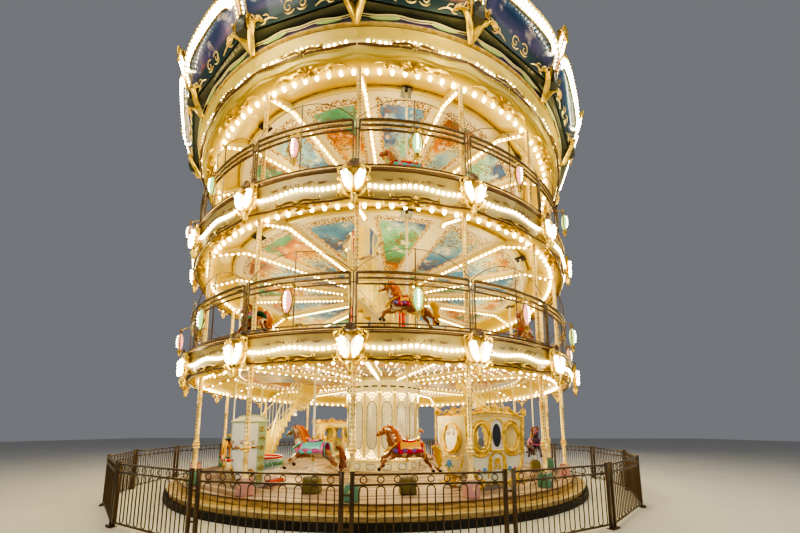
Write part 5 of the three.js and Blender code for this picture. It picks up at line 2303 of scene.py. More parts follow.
# %% The carved body
JOINTS = [
    (0.36, 0, 0.075, 0.150), (0.16, 0, 0.045, 0.158), (-0.06, 0, 0.045, 0.160), (-0.23, 0, 0.085, 0.148),
    (-0.30, 0, 0.20, 0.115), (-0.335, 0, 0.32, 0.085), (-0.355, 0, 0.435, 0.070), (-0.44, 0, 0.425, 0.062),
    (-0.53, 0, 0.375, 0.043), (-0.585, 0, 0.345, 0.036),
]
BONES = [(i, i + 1) for i in range(9)]
FORE_NEAR = [
    (-0.25, -0.075, -0.02, 0.066), (-0.38, -0.09, -0.10, 0.040), (-0.44, -0.095, -0.115, 0.036),
    (-0.50, -0.095, -0.225, 0.025), (-0.535, -0.095, -0.265, 0.034),
]
FORE_FAR = [
    (-0.25, 0.075, -0.02, 0.066), (-0.42, 0.09, -0.055, 0.040), (-0.47, 0.095, -0.06, 0.036),
    (-0.47, 0.095, -0.18, 0.025), (-0.445, 0.095, -0.215, 0.034),
]
HIND_NEAR = [
    (0.40, -0.085, -0.04, 0.085), (0.435, -0.095, -0.145, 0.050), (0.515, -0.10, -0.19, 0.036),
    (0.555, -0.10, -0.285, 0.026), (0.600, -0.10, -0.315, 0.035),
]
HIND_FAR = [
    (0.37, 0.085, -0.04, 0.085), (0.37, 0.095, -0.150, 0.050), (0.45, 0.10, -0.205, 0.036),
    (0.475, 0.10, -0.305, 0.026), (0.515, 0.10, -0.34, 0.035),
]


def skinned(name, joints, bones):
    """A body of that thickness round a stick figure."""
    obj = from_lists(name, [joint[:3] for joint in joints], bones, [])
    select_only(obj)
    modifier = obj.modifiers.new("Skin", "SKIN")
    modifier.branch_smoothing = 0.6
    for vertex, joint in zip(obj.data.skin_vertices[0].data, joints):
        vertex.radius = (joint[3], joint[3])
    obj.data.skin_vertices[0].data[0].use_root = True
    bpy.ops.object.modifier_apply(modifier=modifier.name)
    apply_modifier(obj, "SUBSURF", levels=1, render_levels=1)
    edit(obj)
    return done(name, 80)


def horse_body():
    joints, bones = list(JOINTS), list(BONES)
    for limb, root in ((FORE_NEAR, 3), (FORE_FAR, 3), (HIND_NEAR, 0), (HIND_FAR, 0)):
        last = root
        for joint in limb:
            joints.append(joint)
            bones.append((last, len(joints) - 1))
            last = len(joints) - 1
    return skinned("horse_body", joints, bones)


def ellipsoid(name, centre, size, tilt=0.0, sides=10, rings=7):
    select_only()
    bpy.ops.mesh.primitive_uv_sphere_add(segments=sides, ring_count=rings, radius=1)
    obj = bpy.context.object
    place = Matrix.Translation(centre) @ Matrix.Rotation(tilt, 4, "Y") @ Matrix.Diagonal((*size, 1))
    obj.name = name
    return moved(obj, place)


def lock(points, width):
    """One lock of hair, full in the middle and pointed at its end."""
    count = len(points)
    swell = [
        0.55 + 0.45 * math.sin(math.pi * i / (count - 1)) if i < count - 1 else 0.12
        for i in range(count)
    ]
    return tube("lock", points, width, 6, swell=swell)


def mane_and_tail():
    made_mane, made_tail = [], []
    crest = [
        (-0.375, 0.505), (-0.335, 0.50), (-0.305, 0.45), (-0.285, 0.39), (-0.265, 0.33),
        (-0.24, 0.27), (-0.205, 0.215),
    ]
    for i, (x, z) in enumerate(crest):
        for side in (-1, 1):
            wave = 0.02 * (-1) ** i
            points = [
                (x, side * 0.02, z),
                (x + 0.05, side * 0.06, z + 0.02),
                (x + 0.10, side * 0.085, z - 0.03 + wave),
            ]
            points += [(x + 0.13, side * 0.08, z - 0.08), (x + 0.185, side * 0.075, z - 0.09 - wave)]
            made_mane.append(lock([tuple(p) for p in smooth_through(points, 2)], 0.027))
    forelock = lock(
        smooth_through([(-0.37, 0, 0.51), (-0.42, 0, 0.515), (-0.455, 0, 0.47), (-0.47, 0, 0.43)], 2),
        0.02,
    )
    made_mane.append(forelock)
    for i, (drop, swing) in enumerate(
        ((0.0, 0.10), (0.06, 0.06), (0.12, 0.02), (0.18, -0.03), (0.10, 0.12))
    ):
        side = (i - 2) * 0.018
        points = [
            (0.47, side * 0.3, 0.13),
            (0.54, side, 0.14 - drop * 0.4),
            (0.585 + swing * 0.4, side, 0.04 - drop),
        ]
        points += [(0.56 + swing * 0.5, side, -0.07 - drop), (0.62 + swing * 0.5, side, -0.16 - drop)]
        made_tail.append(lock([tuple(p) for p in smooth_through(points, 2)], 0.036))
    return joined("mane", *made_mane), joined("tail", *made_tail)


def draped(name, x0, x1, spread, radius, lift, scallops=0):
    """A cloth-like carving that lies over the barrel from x0 to x1, down to that angle on both sides."""
    across, along = 22, 8
    shape = []
    for layer in (0.0, 0.014):
        for i in range(along + 1):
            x = x0 + (x1 - x0) * i / along
            reach = spread * (
                1 - 0.10 * abs(math.sin(math.pi * scallops * i / along))
            ) if scallops else spread
            for k in range(across + 1):
                angle = reach * (2 * k / across - 1)
                r = radius + lift - layer
                shape.append((x, r * math.sin(angle), 0.045 + r * math.cos(angle) * 1.04))
    wide = across + 1
    sheet_size = wide * (along + 1)
    faces = []
    for i in range(along):
        for k in range(across):
            a = i * wide + k
            faces.append((a, a + 1, a + wide + 1, a + wide))
            faces.append(
                (sheet_size + a + wide, sheet_size + a + wide + 1, sheet_size + a + 1, sheet_size + a)
            )
    rim = [k for k in range(wide)] + [i * wide + across for i in range(1, along + 1)]
    rim += [
        along * wide + k
        for k in range(across - 1, -1, -1)
    ] + [i * wide for i in range(along - 1, 0, -1)]
    for a, b in zip(rim, rim[1:] + rim[:1]):
        faces.append((b, a, a + sheet_size, b + sheet_size))
    edit(from_lists(name, shape, [], faces))
    return done(name, 60)


def strap(centre, direction, half_width, half_height, width=0.011):
    """A strap round the body, square to a direction in the X-Z plane."""
    dx, dz = direction
    length = math.hypot(dx, dz)
    nx, nz = -dz / length, dx / length
    points = []
    for i in range(16):
        angle = 2 * math.pi * i / 16
        up = half_height * math.sin(angle)
        points.append((centre[0] + nx * up, half_width * math.cos(angle), centre[1] + nz * up))
    return tube("strap", points, width, 4, loop=True)


# %% A dressed horse
def dressed_horse(name, coat_name, mane_paint, tail_paint, cloth, trim, seat, petals):
    """A whole horse about its pole, head towards -X, joined from its carvings."""
    body = paint(horse_body(), coats[coat_name])
    mane, tail = mane_and_tail()
    parts = [body, paint(mane, mane_paint), paint(tail, tail_paint)]
    parts.append(paint(draped("cloth", -0.20, 0.27, 1.75, 0.160, 0.020, 3), cloth))
    parts.append(paint(draped("trim", -0.15, 0.22, 1.35, 0.160, 0.032, 2), trim))
    seat_piece = ellipsoid("seat", (0.03, 0, 0.225), (0.17, 0.105, 0.035), 0, 12, 7)
    for vertex in seat_piece.data.vertices:
        vertex.co.z += 2.6 * (vertex.co.x - 0.03) ** 2
    parts.append(paint(seat_piece, seat))
    parts.append(paint(ellipsoid("cantle", (0.21, 0, 0.285), (0.028, 0.09, 0.06), 0.5), gold))
    parts.append(paint(ellipsoid("pommel", (-0.13, 0, 0.28), (0.025, 0.06, 0.05), -0.4), gold))
    for side in (-1, 1):
        for i in range(5):
            centre = (-0.24 + i * 0.085, side * (0.165 + 0.012 * (i % 2)), 0.07 - 0.03 * (i % 2))
            parts.append(
                paint(ellipsoid("petal", centre, (0.058, 0.022, 0.036), 0.5 - 0.2 * i, 8, 6), petals[i % 2])
            )
        parts.append(paint(ellipsoid("rosette", (-0.335, side * 0.115, 0.12), (0.032, 0.015, 0.032)), gold))
        ear = ellipsoid("ear", (-0.365, side * 0.035, 0.525), (0.016, 0.014, 0.045), -0.3, 6, 5)
        eye = ellipsoid("eye", (-0.455, side * 0.052, 0.445), (0.014, 0.008, 0.011), 0, 6, 5)
        parts += [paint(ear, coats[coat_name]), paint(eye, hoof_black)]
    belts = [
        strap((-0.30, 0.135), (-0.6, 0.8), 0.135, 0.165, 0.014),
        strap((0.30, 0.06), (1, 0.1), 0.160, 0.168, 0.012),
        strap((-0.53, 0.375), (-0.9, -0.4), 0.047, 0.052, 0.008),
        strap((-0.42, 0.43), (-0.9, -0.3), 0.064, 0.075, 0.008),
    ]
    parts.append(paint(joined("belts", *belts), trim))
    for limb in (FORE_NEAR, FORE_FAR, HIND_NEAR, HIND_FAR):
        x, y, z, r = limb[-1]
        parts.append(
            paint(ellipsoid("hoof", (x, y, z - 0.005), (r * 1.15, r * 1.1, r * 1.0), 0.4, 8, 6), hoof_black)
        )
    return joined(name, *parts)


def pole(low, high, radius=0.0235):
    """The horse's pole, with brass collars where it enters the carving and near its ends."""
    shaft = tube("pole", [(0, 0, low), (0, 0, high)], radius, 10)
    rings = [(radius, -0.03), (radius + 0.012, -0.02), (radius + 0.012, 0.02), (radius, 0.03)]
    collars = [moved(turned("collar", closed(rings), 12), offset(0, 0, z)) for z in (0.30, -0.16)]
    return joined("pole", paint(shaft, pole_white), *[paint(c, gold) for c in collars])


LOOKS = [
    ("pied", orange_mane, amber_mane, red_trap, amber_trap, red_trap, (violet_trap, red_trap)),
    ("night", brown_mane, brown_mane, violet_trap, rose_trap, red_trap, (violet_trap, gold)),
    ("ivory", amber_mane, pale_mane, green_trap, amber_trap, red_trap, (green_trap, amber_trap)),
    ("chestnut", pale_mane, pale_mane, turquoise_trap, red_trap, amber_trap, (turquoise_trap, rose_trap)),
    ("ivory", brown_mane, brown_mane, violet_trap, turquoise_trap, red_trap, (rose_trap, turquoise_trap)),
    ("pied", brown_mane, orange_mane, green_trap, rose_trap, violet_trap, (green_trap, gold)),
    ("chestnut", amber_mane, amber_mane, red_trap, turquoise_trap, green_trap, (red_trap, gold)),
    ("tan", orange_mane, brown_mane, rose_trap, turquoise_trap, rose_trap, (rose_trap, turquoise_trap)),
]
HORSE_MID = 1.23
HORSE_SCALE = offset(0, 0, -0.03) @ Matrix.Diagonal((1.13, 1.05, 1.10, 1))
patterns = [dressed_horse(f"pattern_{i + 1}", *look) for i, look in enumerate(LOOKS)]
print("a carved horse has", len(patterns[0].data.polygons), "faces")
for i, station_number in enumerate(HORSE_STATIONS):
    carved_horse = twin(patterns[i], HORSE_SCALE)
    horse_pole = pole(FLOOR_TOP + 0.172 - HORSE_MID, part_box(f"horse_{i + 1}")[1][2] - HORSE_MID)
    whole = joined(f"galloper_{i + 1}", carved_horse, horse_pole)
    moved(whole, at_rim(POLE_R, MID_BAYS[station_number], HORSE_MID))
    ride_as_is(whole, f"horse_{i + 1}")
    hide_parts(f"horse_{i + 1}")

# %% Horses of the upper storeys
UPPER_MID = 0.80
for storey, shift in (("middle", 0), ("upper", 3)):
    base, top = STOREYS[storey]
    parts = []
    for n, station_number in enumerate(range(0, BAYS, 2)):
        seed = apply_modifier(twin(patterns[(n * 3 + shift) % 8], HORSE_SCALE), "DECIMATE", ratio=0.4)
        upper_pole = pole(-UPPER_MID + 0.002, top - 0.18 - base - UPPER_MID, 0.033)
        flange = paint(
            bar("flange", (0.27, 0.27, 0.03), (0, 0, top - 0.262 - base - UPPER_MID), 0.004),
            hoof_black,
        )
        plinth = paint(bar("plinth", (0.16, 0.16, 0.03), (0, 0, -UPPER_MID + 0.016), 0.006), gold)
        parts.append(
            moved(
                joined("set", seed, upper_pole, flange, plinth),
                at_rim(POLE_R, MID_BAYS[station_number], base + UPPER_MID),
            )
        )
    crank = turned(
        "crank",
        closed([(5.11, top - 0.24), (5.19, top - 0.24), (5.19, top - 0.162), (5.11, top - 0.162)]),
        96,
    )
    crank = paint(crank, cream)
    herd = joined(f"gallopers_{storey}", *parts, crank)
    ride_as_is(herd)
    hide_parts(f"horses_{storey}")
    print(herd.name, len(herd.data.polygons), "faces")
for pattern in patterns:
    bpy.data.objects.remove(pattern)

# %% [markdown]
# ## Coaches
# The coach is a gilded box on a curved belly. The construction gives its walls and window holes. The
# gilder's work goes on top: heavy oval frames, a white round-topped door with a carved panel under it,
# scrolls along the roof that rise to a crest of leaves, flames at the corners and painted flowers below.

# %% Coach materials
COACH_R, CARRIAGE_R, GONDOLA_R = 4.95, 4.85, 4.75
# The coach gilding has a faint painted glow.
coach_gold = gilding("coach_gilding", (0.95, 0.66, 0.15), (0.42, 0.24, 0.03), metallic=0.55, glow=0.03)
flower_blue = enamel("flower_blue_enamel", (0.10, 0.30, 0.70), shine=0.2)
flower_rose = enamel("flower_rose_enamel", (0.80, 0.22, 0.26), shine=0.2)
petal_green = enamel("petal_green_enamel", (0.10, 0.36, 0.12), shine=0.2)
# Near-black behind glossy glass: painted shade for the dark inside of the coach.
coach_glass = enamel("coach_glass_over_painted_shade", (0.05, 0.05, 0.06), shine=0.05, coat=1.0)


def ellipse(centre, half_width, half_height, count=28):
    angles = [2 * math.pi * i / count for i in range(count)]
    return [(centre[0] + half_width * math.cos(a), centre[1] + half_height * math.sin(a)) for a in angles]


def ring(name, flat_points, width, depth, sides=6):
    """A closed moulding along a flat line, standing that far off the wall."""
    return tube(name, [(x, -depth, z) for x, z in flat_points], width, sides, loop=True)


def flower(centre, size, petals=6):
    """A painted rose of domed petals with three leaves under it, on the front of a wall."""
    x, z = centre
    bloom, leaves = [], []
    for i in range(petals):
        a = 2 * math.pi * i / petals
        spot = (x + size * 0.5 * math.cos(a), -0.012, z + size * 0.5 * math.sin(a))
        bloom.append(ellipsoid("petal", spot, (size * 0.42, 0.016, size * 0.3), -a, 6, 4))
    bloom.append(ellipsoid("heart", (x, -0.024, z), (size * 0.3, 0.014, size * 0.3), 0, 6, 4))
    for a in (3.5, 4.7, 5.9):
        spot = (x + size * 1.05 * math.cos(a), -0.006, z + size * 1.05 * math.sin(a))
        leaves.append(ellipsoid("leaf", spot, (size * 0.5, 0.010, size * 0.2), -a, 6, 4))
    return joined("bloom", *bloom), joined("leaves", *leaves)


def crest(size):
    """A fan of leaves that stands on a rail, tallest at the middle."""
    blades = []
    for i in range(7):
        lean = (i - 3) * 0.36
        tall = size * (1 - 0.09 * abs(i - 3))
        tip = (tall * math.sin(lean), tall * math.cos(lean))
        side = (0.35 * tip[0] + 0.10 * size * np.sign(lean), 0.55 * tip[1])
        blades.append(flowing("blade", [(0, 0), side, tip], size * 0.11, 0.0, 6, 0.15, steps=4))
    return joined("crest", *blades)


# %% Gilding of one coach side
def coach_belly(share, inset=0.0):
    """A point of the coach's outline from the foot, share 0, to the roof corner, share 1."""
    if share < 0.5:
        t = share * 2
        x = (1 - t) ** 2 * 0.62 + 2 * t * (1 - t) * 0.90 + t**2 * 0.90
        z = (1 - t) ** 2 * 0.28 + 2 * t * (1 - t) * 0.58 + t**2 * 1.06
    else:
        t = share * 2 - 1
        x, z = 0.90 + 0.06 * t, 1.06 + 0.55 * t
    return (x - inset, z)


def coach_side(door):
    """The carvings on one long side, modelled about the coach's middle and facing -Y."""
    edge = [coach_belly(s, 0.03) for s in np.linspace(0.02, 0.97, 14)]
    roof = [(x, 1.61 + 0.095 * (1 - (x / 0.96) ** 2)) for x in np.linspace(0.93, -0.93, 17)]
    sill = [(0.62 * t, 0.27 - 0.13 * (1 - t * t)) for t in np.linspace(-1, 1, 13)]
    gilt = [
        pair(tube("edge", [(x, -0.01, z) for x, z in edge], 0.030, 8)),
        pair(tube("inner_edge", [(x - 0.075, -0.008, z) for x, z in edge[4:]], 0.011, 6)),
        tube("roof_rail", [(x, -0.01, z) for x, z in roof], 0.030, 8),
        tube("under_rail", [(x, -0.008, z - 0.075) for x, z in roof], 0.011, 6),
        tube("sill", [(x, -0.01, z) for x, z in sill], 0.026, 6),
        pair(ring("window", ellipse((0.47, 1.15), 0.255, 0.315), 0.036, 0.012, 8)),
        pair(ring("window_bead", ellipse((0.47, 1.15), 0.315, 0.375), 0.014, 0.010, 6)),
        pair(
            flowing(
                "waist",
                [(0.24, 0.88), (0.36, 0.76), (0.55, 0.745), (0.74, 0.80), (0.86, 0.90)],
                0.030,
                0.014,
                6,
                steps=4,
            )
        ),
        pair(
            flowing(
                "rise",
                [(0.30, 0.26), (0.27, 0.45), (0.245, 0.66), (0.27, 0.86)],
                0.022,
                0.014,
                6,
                steps=4,
            )
        ),
        pair(curled("foot_curl", (0.50, 0.19), 0.12, 1.3, 0.3, -1, 0.032, 0.016, 6)),
        pair(
            flowing(
                "foot_reach",
                [(0.60, 0.24), (0.72, 0.14), (0.86, 0.10), (0.94, 0.20)],
                0.030,
                0.016,
                6,
                steps=4,
            )
        ),
        pair(
            flowing(
                "top_wave",
                [(0.20, 1.76), (0.38, 1.83), (0.55, 1.74), (0.72, 1.70), (0.90, 1.78)],
                0.026,
                0.004,
                6,
                steps=4,
            )
        ),
        pair(curled("top_curl", (0.42, 1.79), 0.065, 1.1, 2.8, -1, 0.020, 0.004, 6)),
    ]
    for x in (-0.93, 0.93):
        flame = crest(0.20)
        gilt.append(moved(flame, offset(x, 0, 1.66) @ Matrix.Rotation(0.35 * np.sign(x), 4, "Y")))
    if door:
        gilt.append(moved(crest(0.27), offset(0, 0, 1.68)))
        gilt.append(pair(curled("crest_curl", (0.15, 1.76), 0.075, 1.2, 3.4, 1, 0.026, 0.006, 6)))
        top = [
            (0.205, 0.86), (0.205, 1.40),
        ] + [(0.205 * math.cos(a), 1.40 + 0.17 * math.sin(a)) for a in np.linspace(0, math.pi, 11)]
        opening = top + [(-0.205, 0.86)]
        gilt.append(ring("door_frame", opening, 0.026, 0.014, 8))
        arch = [(0.20, 0.36)] + [
            (0.20 * math.cos(a), 0.66 + 0.16 * math.sin(a))
            for a in np.linspace(0, math.pi, 9)
        ] + [(-0.20, 0.36)]
        gilt.append(tube("panel_arch", [(x, -0.014, z) for x, z in arch], 0.024, 6))
        gilt.append(moved(shell_boss(0.12, 0.12, 7, 0.02), offset(0, 0, 0.58)))
        gilt.append(pair(curled("panel_scroll", (0.075, 0.50), 0.055, 1.2, 1.0, 1, 0.016, 0.016, 6)))
        leafwork = plate("door", [(x * 0.94, z) for x, z in opening], 0.012, 0.003)
        glass = plate("door_glass", ellipse((0, 1.19), 0.135, 0.26), 0.016, 0.002)
        extra = [paint(leafwork, panel_white), paint(glass, coach_glass)]
    else:
        extra = []
    parts = [paint(joined("gilt", *gilt), coach_gold)] + extra
    for x, size, finish in (
        (0.40, 0.065, flower_blue), (-0.40, 0.065, flower_blue), (0.56, 0.045, flower_rose),
        (-0.56, 0.045, flower_rose),
    ):
        bloom, leaves = flower((x, 0.44), size)
        parts += [paint(bloom, finish), paint(leaves, petal_green)]
    return joined("coach_side", *parts)


def coach_end():
    """The carvings on one end wall, facing -Y: a big oval window, flowers and a scrolled foot."""
    gilt = [
        ring("end_window", ellipse((0, 1.16), 0.245, 0.32), 0.038, 0.012, 8),
        ring("end_bead", ellipse((0, 1.16), 0.31, 0.385), 0.014, 0.008, 6),
        tube("end_rail", [(x, -0.006, 1.62) for x in (-0.44, 0.44)], 0.028, 6),
        pair(
            flowing(
                "end_waist",
                [(0.03, 0.70), (0.16, 0.74), (0.30, 0.70), (0.41, 0.80)],
                0.026,
                0.0,
                6,
                steps=4,
            )
        ),
        pair(
            flowing(
                "end_rise",
                [(0.40, 0.76), (0.36, 0.60), (0.30, 0.46), (0.16, 0.36)],
                0.022,
                -0.03,
                6,
                steps=4,
            )
        ),
        moved(crest(0.20), offset(0, 0, 1.66)),
        pair(flowing("end_wave", [(0.10, 1.72), (0.22, 1.76), (0.36, 1.68)], 0.022, 0.0, 6, steps=4)),
    ]
    pane = plate("pane", ellipse((0, 1.16), 0.235, 0.31), 0.008, 0.002)
    bloom, leaves = flower((0, 0.58), 0.11)
    inner = pair(curled("pane_scroll", (0.10, 1.24), 0.07, 1.2, 1.2, 1, 0.012, 0.014, 4))
    return joined(
        "coach_end",
        paint(joined("gilt", *gilt), coach_gold),
        paint(pane, panel_white),
        paint(bloom, flower_blue),
        paint(leaves, petal_green),
        paint(inner, rose_enamel),
    )


# %% Two dressed coaches
def at_end(side):
    """Takes an end wall, modelled facing -Y, to the coach's end on that side."""
    lean = Matrix.Rotation(-0.10, 4, "X")
    return turn(side * math.pi / 2) @ offset(0, -0.932, 0) @ offset(0, 0, 1.2) @ lean @ offset(0, 0, -1.2)


wheel_parts = [
    tube(
        "tyre",
        [(0.19 * math.cos(a), 0, 0.20 + 0.19 * math.sin(a)) for a in np.linspace(0, 2 * math.pi, 25)[:-1]],
        0.018,
        6,
        loop=True,
    ),
    ellipsoid("hub", (0, 0, 0.20), (0.045, 0.035, 0.045)),
]
wheel_parts += [
    tube("spoke", [(0, 0, 0.20), (0.18 * math.cos(a), 0, 0.20 + 0.18 * math.sin(a))], 0.010, 4)
    for a in np.linspace(0, 2 * math.pi, 9)[:-1]
]
wheel = paint(joined("wheel", *wheel_parts), coach_gold)
wheels = [twin(wheel, offset(x, y, 0.005)) for x in (-0.56, 0.56) for y in (-0.40, 0.40)]
bpy.data.objects.remove(wheel)
outer_side = moved(coach_side(True), offset(0, -0.451, 0))
inner_side = moved(coach_side(False), turn(math.pi) @ offset(0, -0.451, 0))
ends = [moved(coach_end(), at_end(side)) for side in (-1, 1)]
coach_carving = joined("coach_carving", outer_side, inner_side, *ends, *wheels)
for i, station_number in enumerate((1, 9)):
    place = at_rim(COACH_R, MID_BAYS[station_number], FLOOR_TOP)
    gilded = joined(f"coach_gilding_{i + 1}", twin(coach_carving, place))
    ride_as_is(gilded)
    print(gilded.name, len(gilded.data.polygons), "faces")
bpy.data.objects.remove(coach_carving)

coach_wall, tree, shader = new_material("coach_wall_paint")
upper = banded(tree, apart(tree)[2], 0.0, 1.0, FLOOR_TOP + 0.78, FLOOR_TOP + 0.82)
two_tone = blended(tree, upper, (0.86, 0.82, 0.62), (0.90, 0.76, 0.38))
weathered(tree, shader, wear, {"Paint": two_tone, "Shift": 0.2, "Shine": 0.22}, 0.15, 0.002)
for name in ("coach_1", "coach_2"):
    repaint(name, coach_wall)

# %% [markdown]
# ## Hooded carriages
# These are round white tubs with half a hood on the outer side, edged in pale green and hung with
# painted garlands. A profile spun into a tub makes the body. The hood is the top of a spun dome, cut
# away on the side where riders climb in, and so is the wall above the rim.

# %% The tub and its half hood
boat_blue = enamel("boat_blue_enamel", (0.35, 0.55, 0.68), shine=0.2)
# The tub's white has a faint painted glow.
tub_white = enamel("tub_white_enamel", (0.97, 0.94, 0.86), shine=0.15, glow=0.05)
tub_green = enamel("tub_green_enamel", (0.52, 0.68, 0.42), shine=0.2)
TUB_RIM = 0.64
tub_profile = closed(
    [
        (0.0, 0.0), (0.42, 0.0), (0.50, 0.22), (0.565, 0.50), (0.574, TUB_RIM), (0.54, TUB_RIM),
        (0.52, 0.50), (0.40, 0.06), (0.0, 0.06),
    ]
)
wall_profile = closed(
    [(0.574, TUB_RIM), (0.595, 1.00), (0.60, 1.50), (0.565, 1.50), (0.555, 1.00), (0.54, TUB_RIM)]
)
OPEN_BEYOND = -0.26


def tub_radius(z):
    """The radius of the tub's outside at that height."""
    return float(np.interp(z, [0.0, 0.22, 0.50, 1.00, 1.50], [0.42, 0.50, 0.565, 0.595, 0.60]))


def on_tub(obj):
    """Wraps a shape modelled flat, facing -Y, round the tub."""
    for vertex in obj.data.vertices:
        x, y, z = vertex.co
        reach = tub_radius(min(max(z, 0.0), 1.5)) - y
        vertex.co = (reach * math.sin(x / 0.6), -reach * math.cos(x / 0.6), z)
    return obj


def cut_open(obj):
    """Takes away what lies on the side where riders climb in."""
    select_only(obj)
    bpy.ops.object.mode_set(mode="EDIT")
    bpy.ops.mesh.select_all(action="SELECT")
    bpy.ops.mesh.bisect(plane_co=(0, OPEN_BEYOND, 0), plane_no=(0, 1, 0), use_fill=True, clear_outer=True)
    return done(obj.name, 40)


def half_hood():
    """The outer part of a dome, which closes the top behind the riders' heads."""
    dome = [(0.60 * math.cos(a), 1.495 + 0.17 * math.sin(a)) for a in np.linspace(0, 0.47 * math.pi, 9)]
    inner = [(r * 0.95, z - 0.02) for r, z in reversed(dome)]
    return cut_open(turned("hood", closed(dome + inner), 48))


BAND = 0.57
tub = joined("tub", turned("low_tub", tub_profile, 40), cut_open(turned("high_wall", wall_profile, 40)))
hood_edge = [
    (x, OPEN_BEYOND, 1.50 + 0.17 * math.sqrt(max(0.0, 1 - (x * x + 0.0676) / 0.36)))
    for x in np.linspace(-0.54, 0.54, 15)
]
green = []
for side in (-1, 1):
    band = bar("band", (0.17, 0.02, 1.46), (side * BAND, -0.006, 0.77), 0.006)
    cross_cut(band, 0, [side * BAND - 0.04, side * BAND, side * BAND + 0.04])
    green.append(on_tub(cross_cut(band, 2, np.linspace(0.10, 1.44, 12))))
green.append(tube("hood_edge", hood_edge, 0.030, 8))
green.append(on_tub(tube("rim", [(x, -0.008, 1.50) for x in np.linspace(-0.66, 0.66, 25)], 0.028, 8)))
scrollwork = []
for side in (-1, 1):
    for k in range(6):
        curl = spiral((side * BAND, 0.24 + 0.22 * k), 0.065, 1.2, 0.6 + k, side * (-1) ** k, 11)
        scrollwork.append(on_tub(carved("band_curl", curl, 0.016, 0.024, 4)))
for x, drop in ((-0.40, 0.06), (-0.14, 0.10), (0.14, 0.10), (0.40, 0.06)):
    swing = smooth_through(
        [(x - 0.12, 0.98), (x - 0.05, 0.98 - drop), (x + 0.05, 0.98 - drop), (x + 0.12, 0.98)],
        3,
    )
    scrollwork.append(on_tub(carved("garland", swing, 0.022, 0.012, 4)))
    scrollwork.append(
        on_tub(curled("garland_curl", (x, 1.02), 0.05, 1.0, 1.0, 1, 0.012, 0.012, 4, points=9))
    )
for side in (-1, 1):
    scrollwork.append(
        on_tub(curled("foot_scroll", (side * 0.34, 0.36), 0.14, 1.3, 1.9, side, 0.030, 0.02, 6, points=16))
    )
    scrollwork.append(
        on_tub(
            flowing(
                "foot_tail",
                [(side * 0.40, 0.24), (side * 0.20, 0.12), (side * 0.02, 0.20)],
                0.028,
                0.02,
                6,
                steps=4,
            )
        )
    )
scrolls_gold = paint(joined("scrollwork", *scrollwork), old_gold)
blooms = []
for x, z in ((-0.27, 0.97), (0.0, 0.90), (0.27, 0.97), (-0.20, 0.62), (0.20, 0.62)):
    bloom, leaves = flower((x, z), 0.038)
    blooms += [paint(on_tub(bloom), flower_rose), paint(on_tub(leaves), petal_green)]
castors = [
    tube(
        "castor",
        [
            (0.07 * math.cos(a) + x, -0.50, 0.08 + 0.07 * math.sin(a))
            for a in np.linspace(0, 2 * math.pi, 13)[:-1]
        ],
        0.014,
        6,
        loop=True,
    )
    for x in (-0.20, 0.0, 0.20)
]
APRON = (0.66, 3.11)
apron_at = np.linspace(*APRON, 60)
apron_rail = paint(
    on_tub(tube("apron_rail", [(x, 0.015, TUB_RIM + 0.015) for x in apron_at], 0.032, 8)),
    signal_red,
)
apron = plate(
    "apron",
    [(APRON[0], 0.40), (APRON[1], 0.40), (APRON[1], 0.62), (APRON[0], 0.62)],
    0.02,
    0.002,
)
cross_cut(apron, 0, apron_at[1:-1])
apron = paint(on_tub(cross_cut(apron, 2, (0.45, 0.51, 0.57))), boat_blue)
apron_points = []
for k in range(26):
    x = 0.73 + 0.092 * k
    edge = smooth_through([(x - 0.04, 0.56), (x, 0.47), (x + 0.04, 0.56)], 3)
    apron_points.append(on_tub(carved("scallop", edge, 0.016, 0.026, 4)))
apron_points = paint(joined("apron_points", *apron_points), petal_green)
step_board = paint(bar("step_board", (0.56, 0.17, 0.10), (0, 0, 0), 0.03), signal_red)
moved(step_board, turn(1.75) @ offset(0, -0.52, 0.10))
HOOD_TURN = 0.20
bench = bar("bench", (0.56, 0.34, 0.08), (0, 0.20, 0.44), 0.03)
carriage_whole = joined(
    "carriage_whole",
    paint(tub, tub_white),
    paint(half_hood(), tub_white),
    paint(joined("green", *green), tub_green),
    scrolls_gold,
    *blooms,
    paint(joined("castors", *castors), moulding_brown),
    paint(bench, signal_red),
    apron_rail,
    apron,
    apron_points,
    step_board,
)
for i, station_number in enumerate((6, 14)):
    place = at_rim(CARRIAGE_R, MID_BAYS[station_number], FLOOR_TOP) @ turn(HOOD_TURN)
    hooded = joined(f"hooded_carriage_{i + 1}", twin(carriage_whole, place))
    ride_as_is(hooded)
    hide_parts(f"carriage_{i + 1}")
    print(hooded.name, len(hooded.data.polygons), "faces")
bpy.data.objects.remove(carriage_whole)

# %% [markdown]
# ## Gondolas
# The low boats keep their constructed boards. Each gets a red rail along the top edge, a pale blue band
# of scallops, gilded scrolls at both stems and red cushions on the bench.

# %% Trim of the boats
boat_white = enamel("boat_white_enamel", (0.78, 0.72, 0.58), shine=0.15)


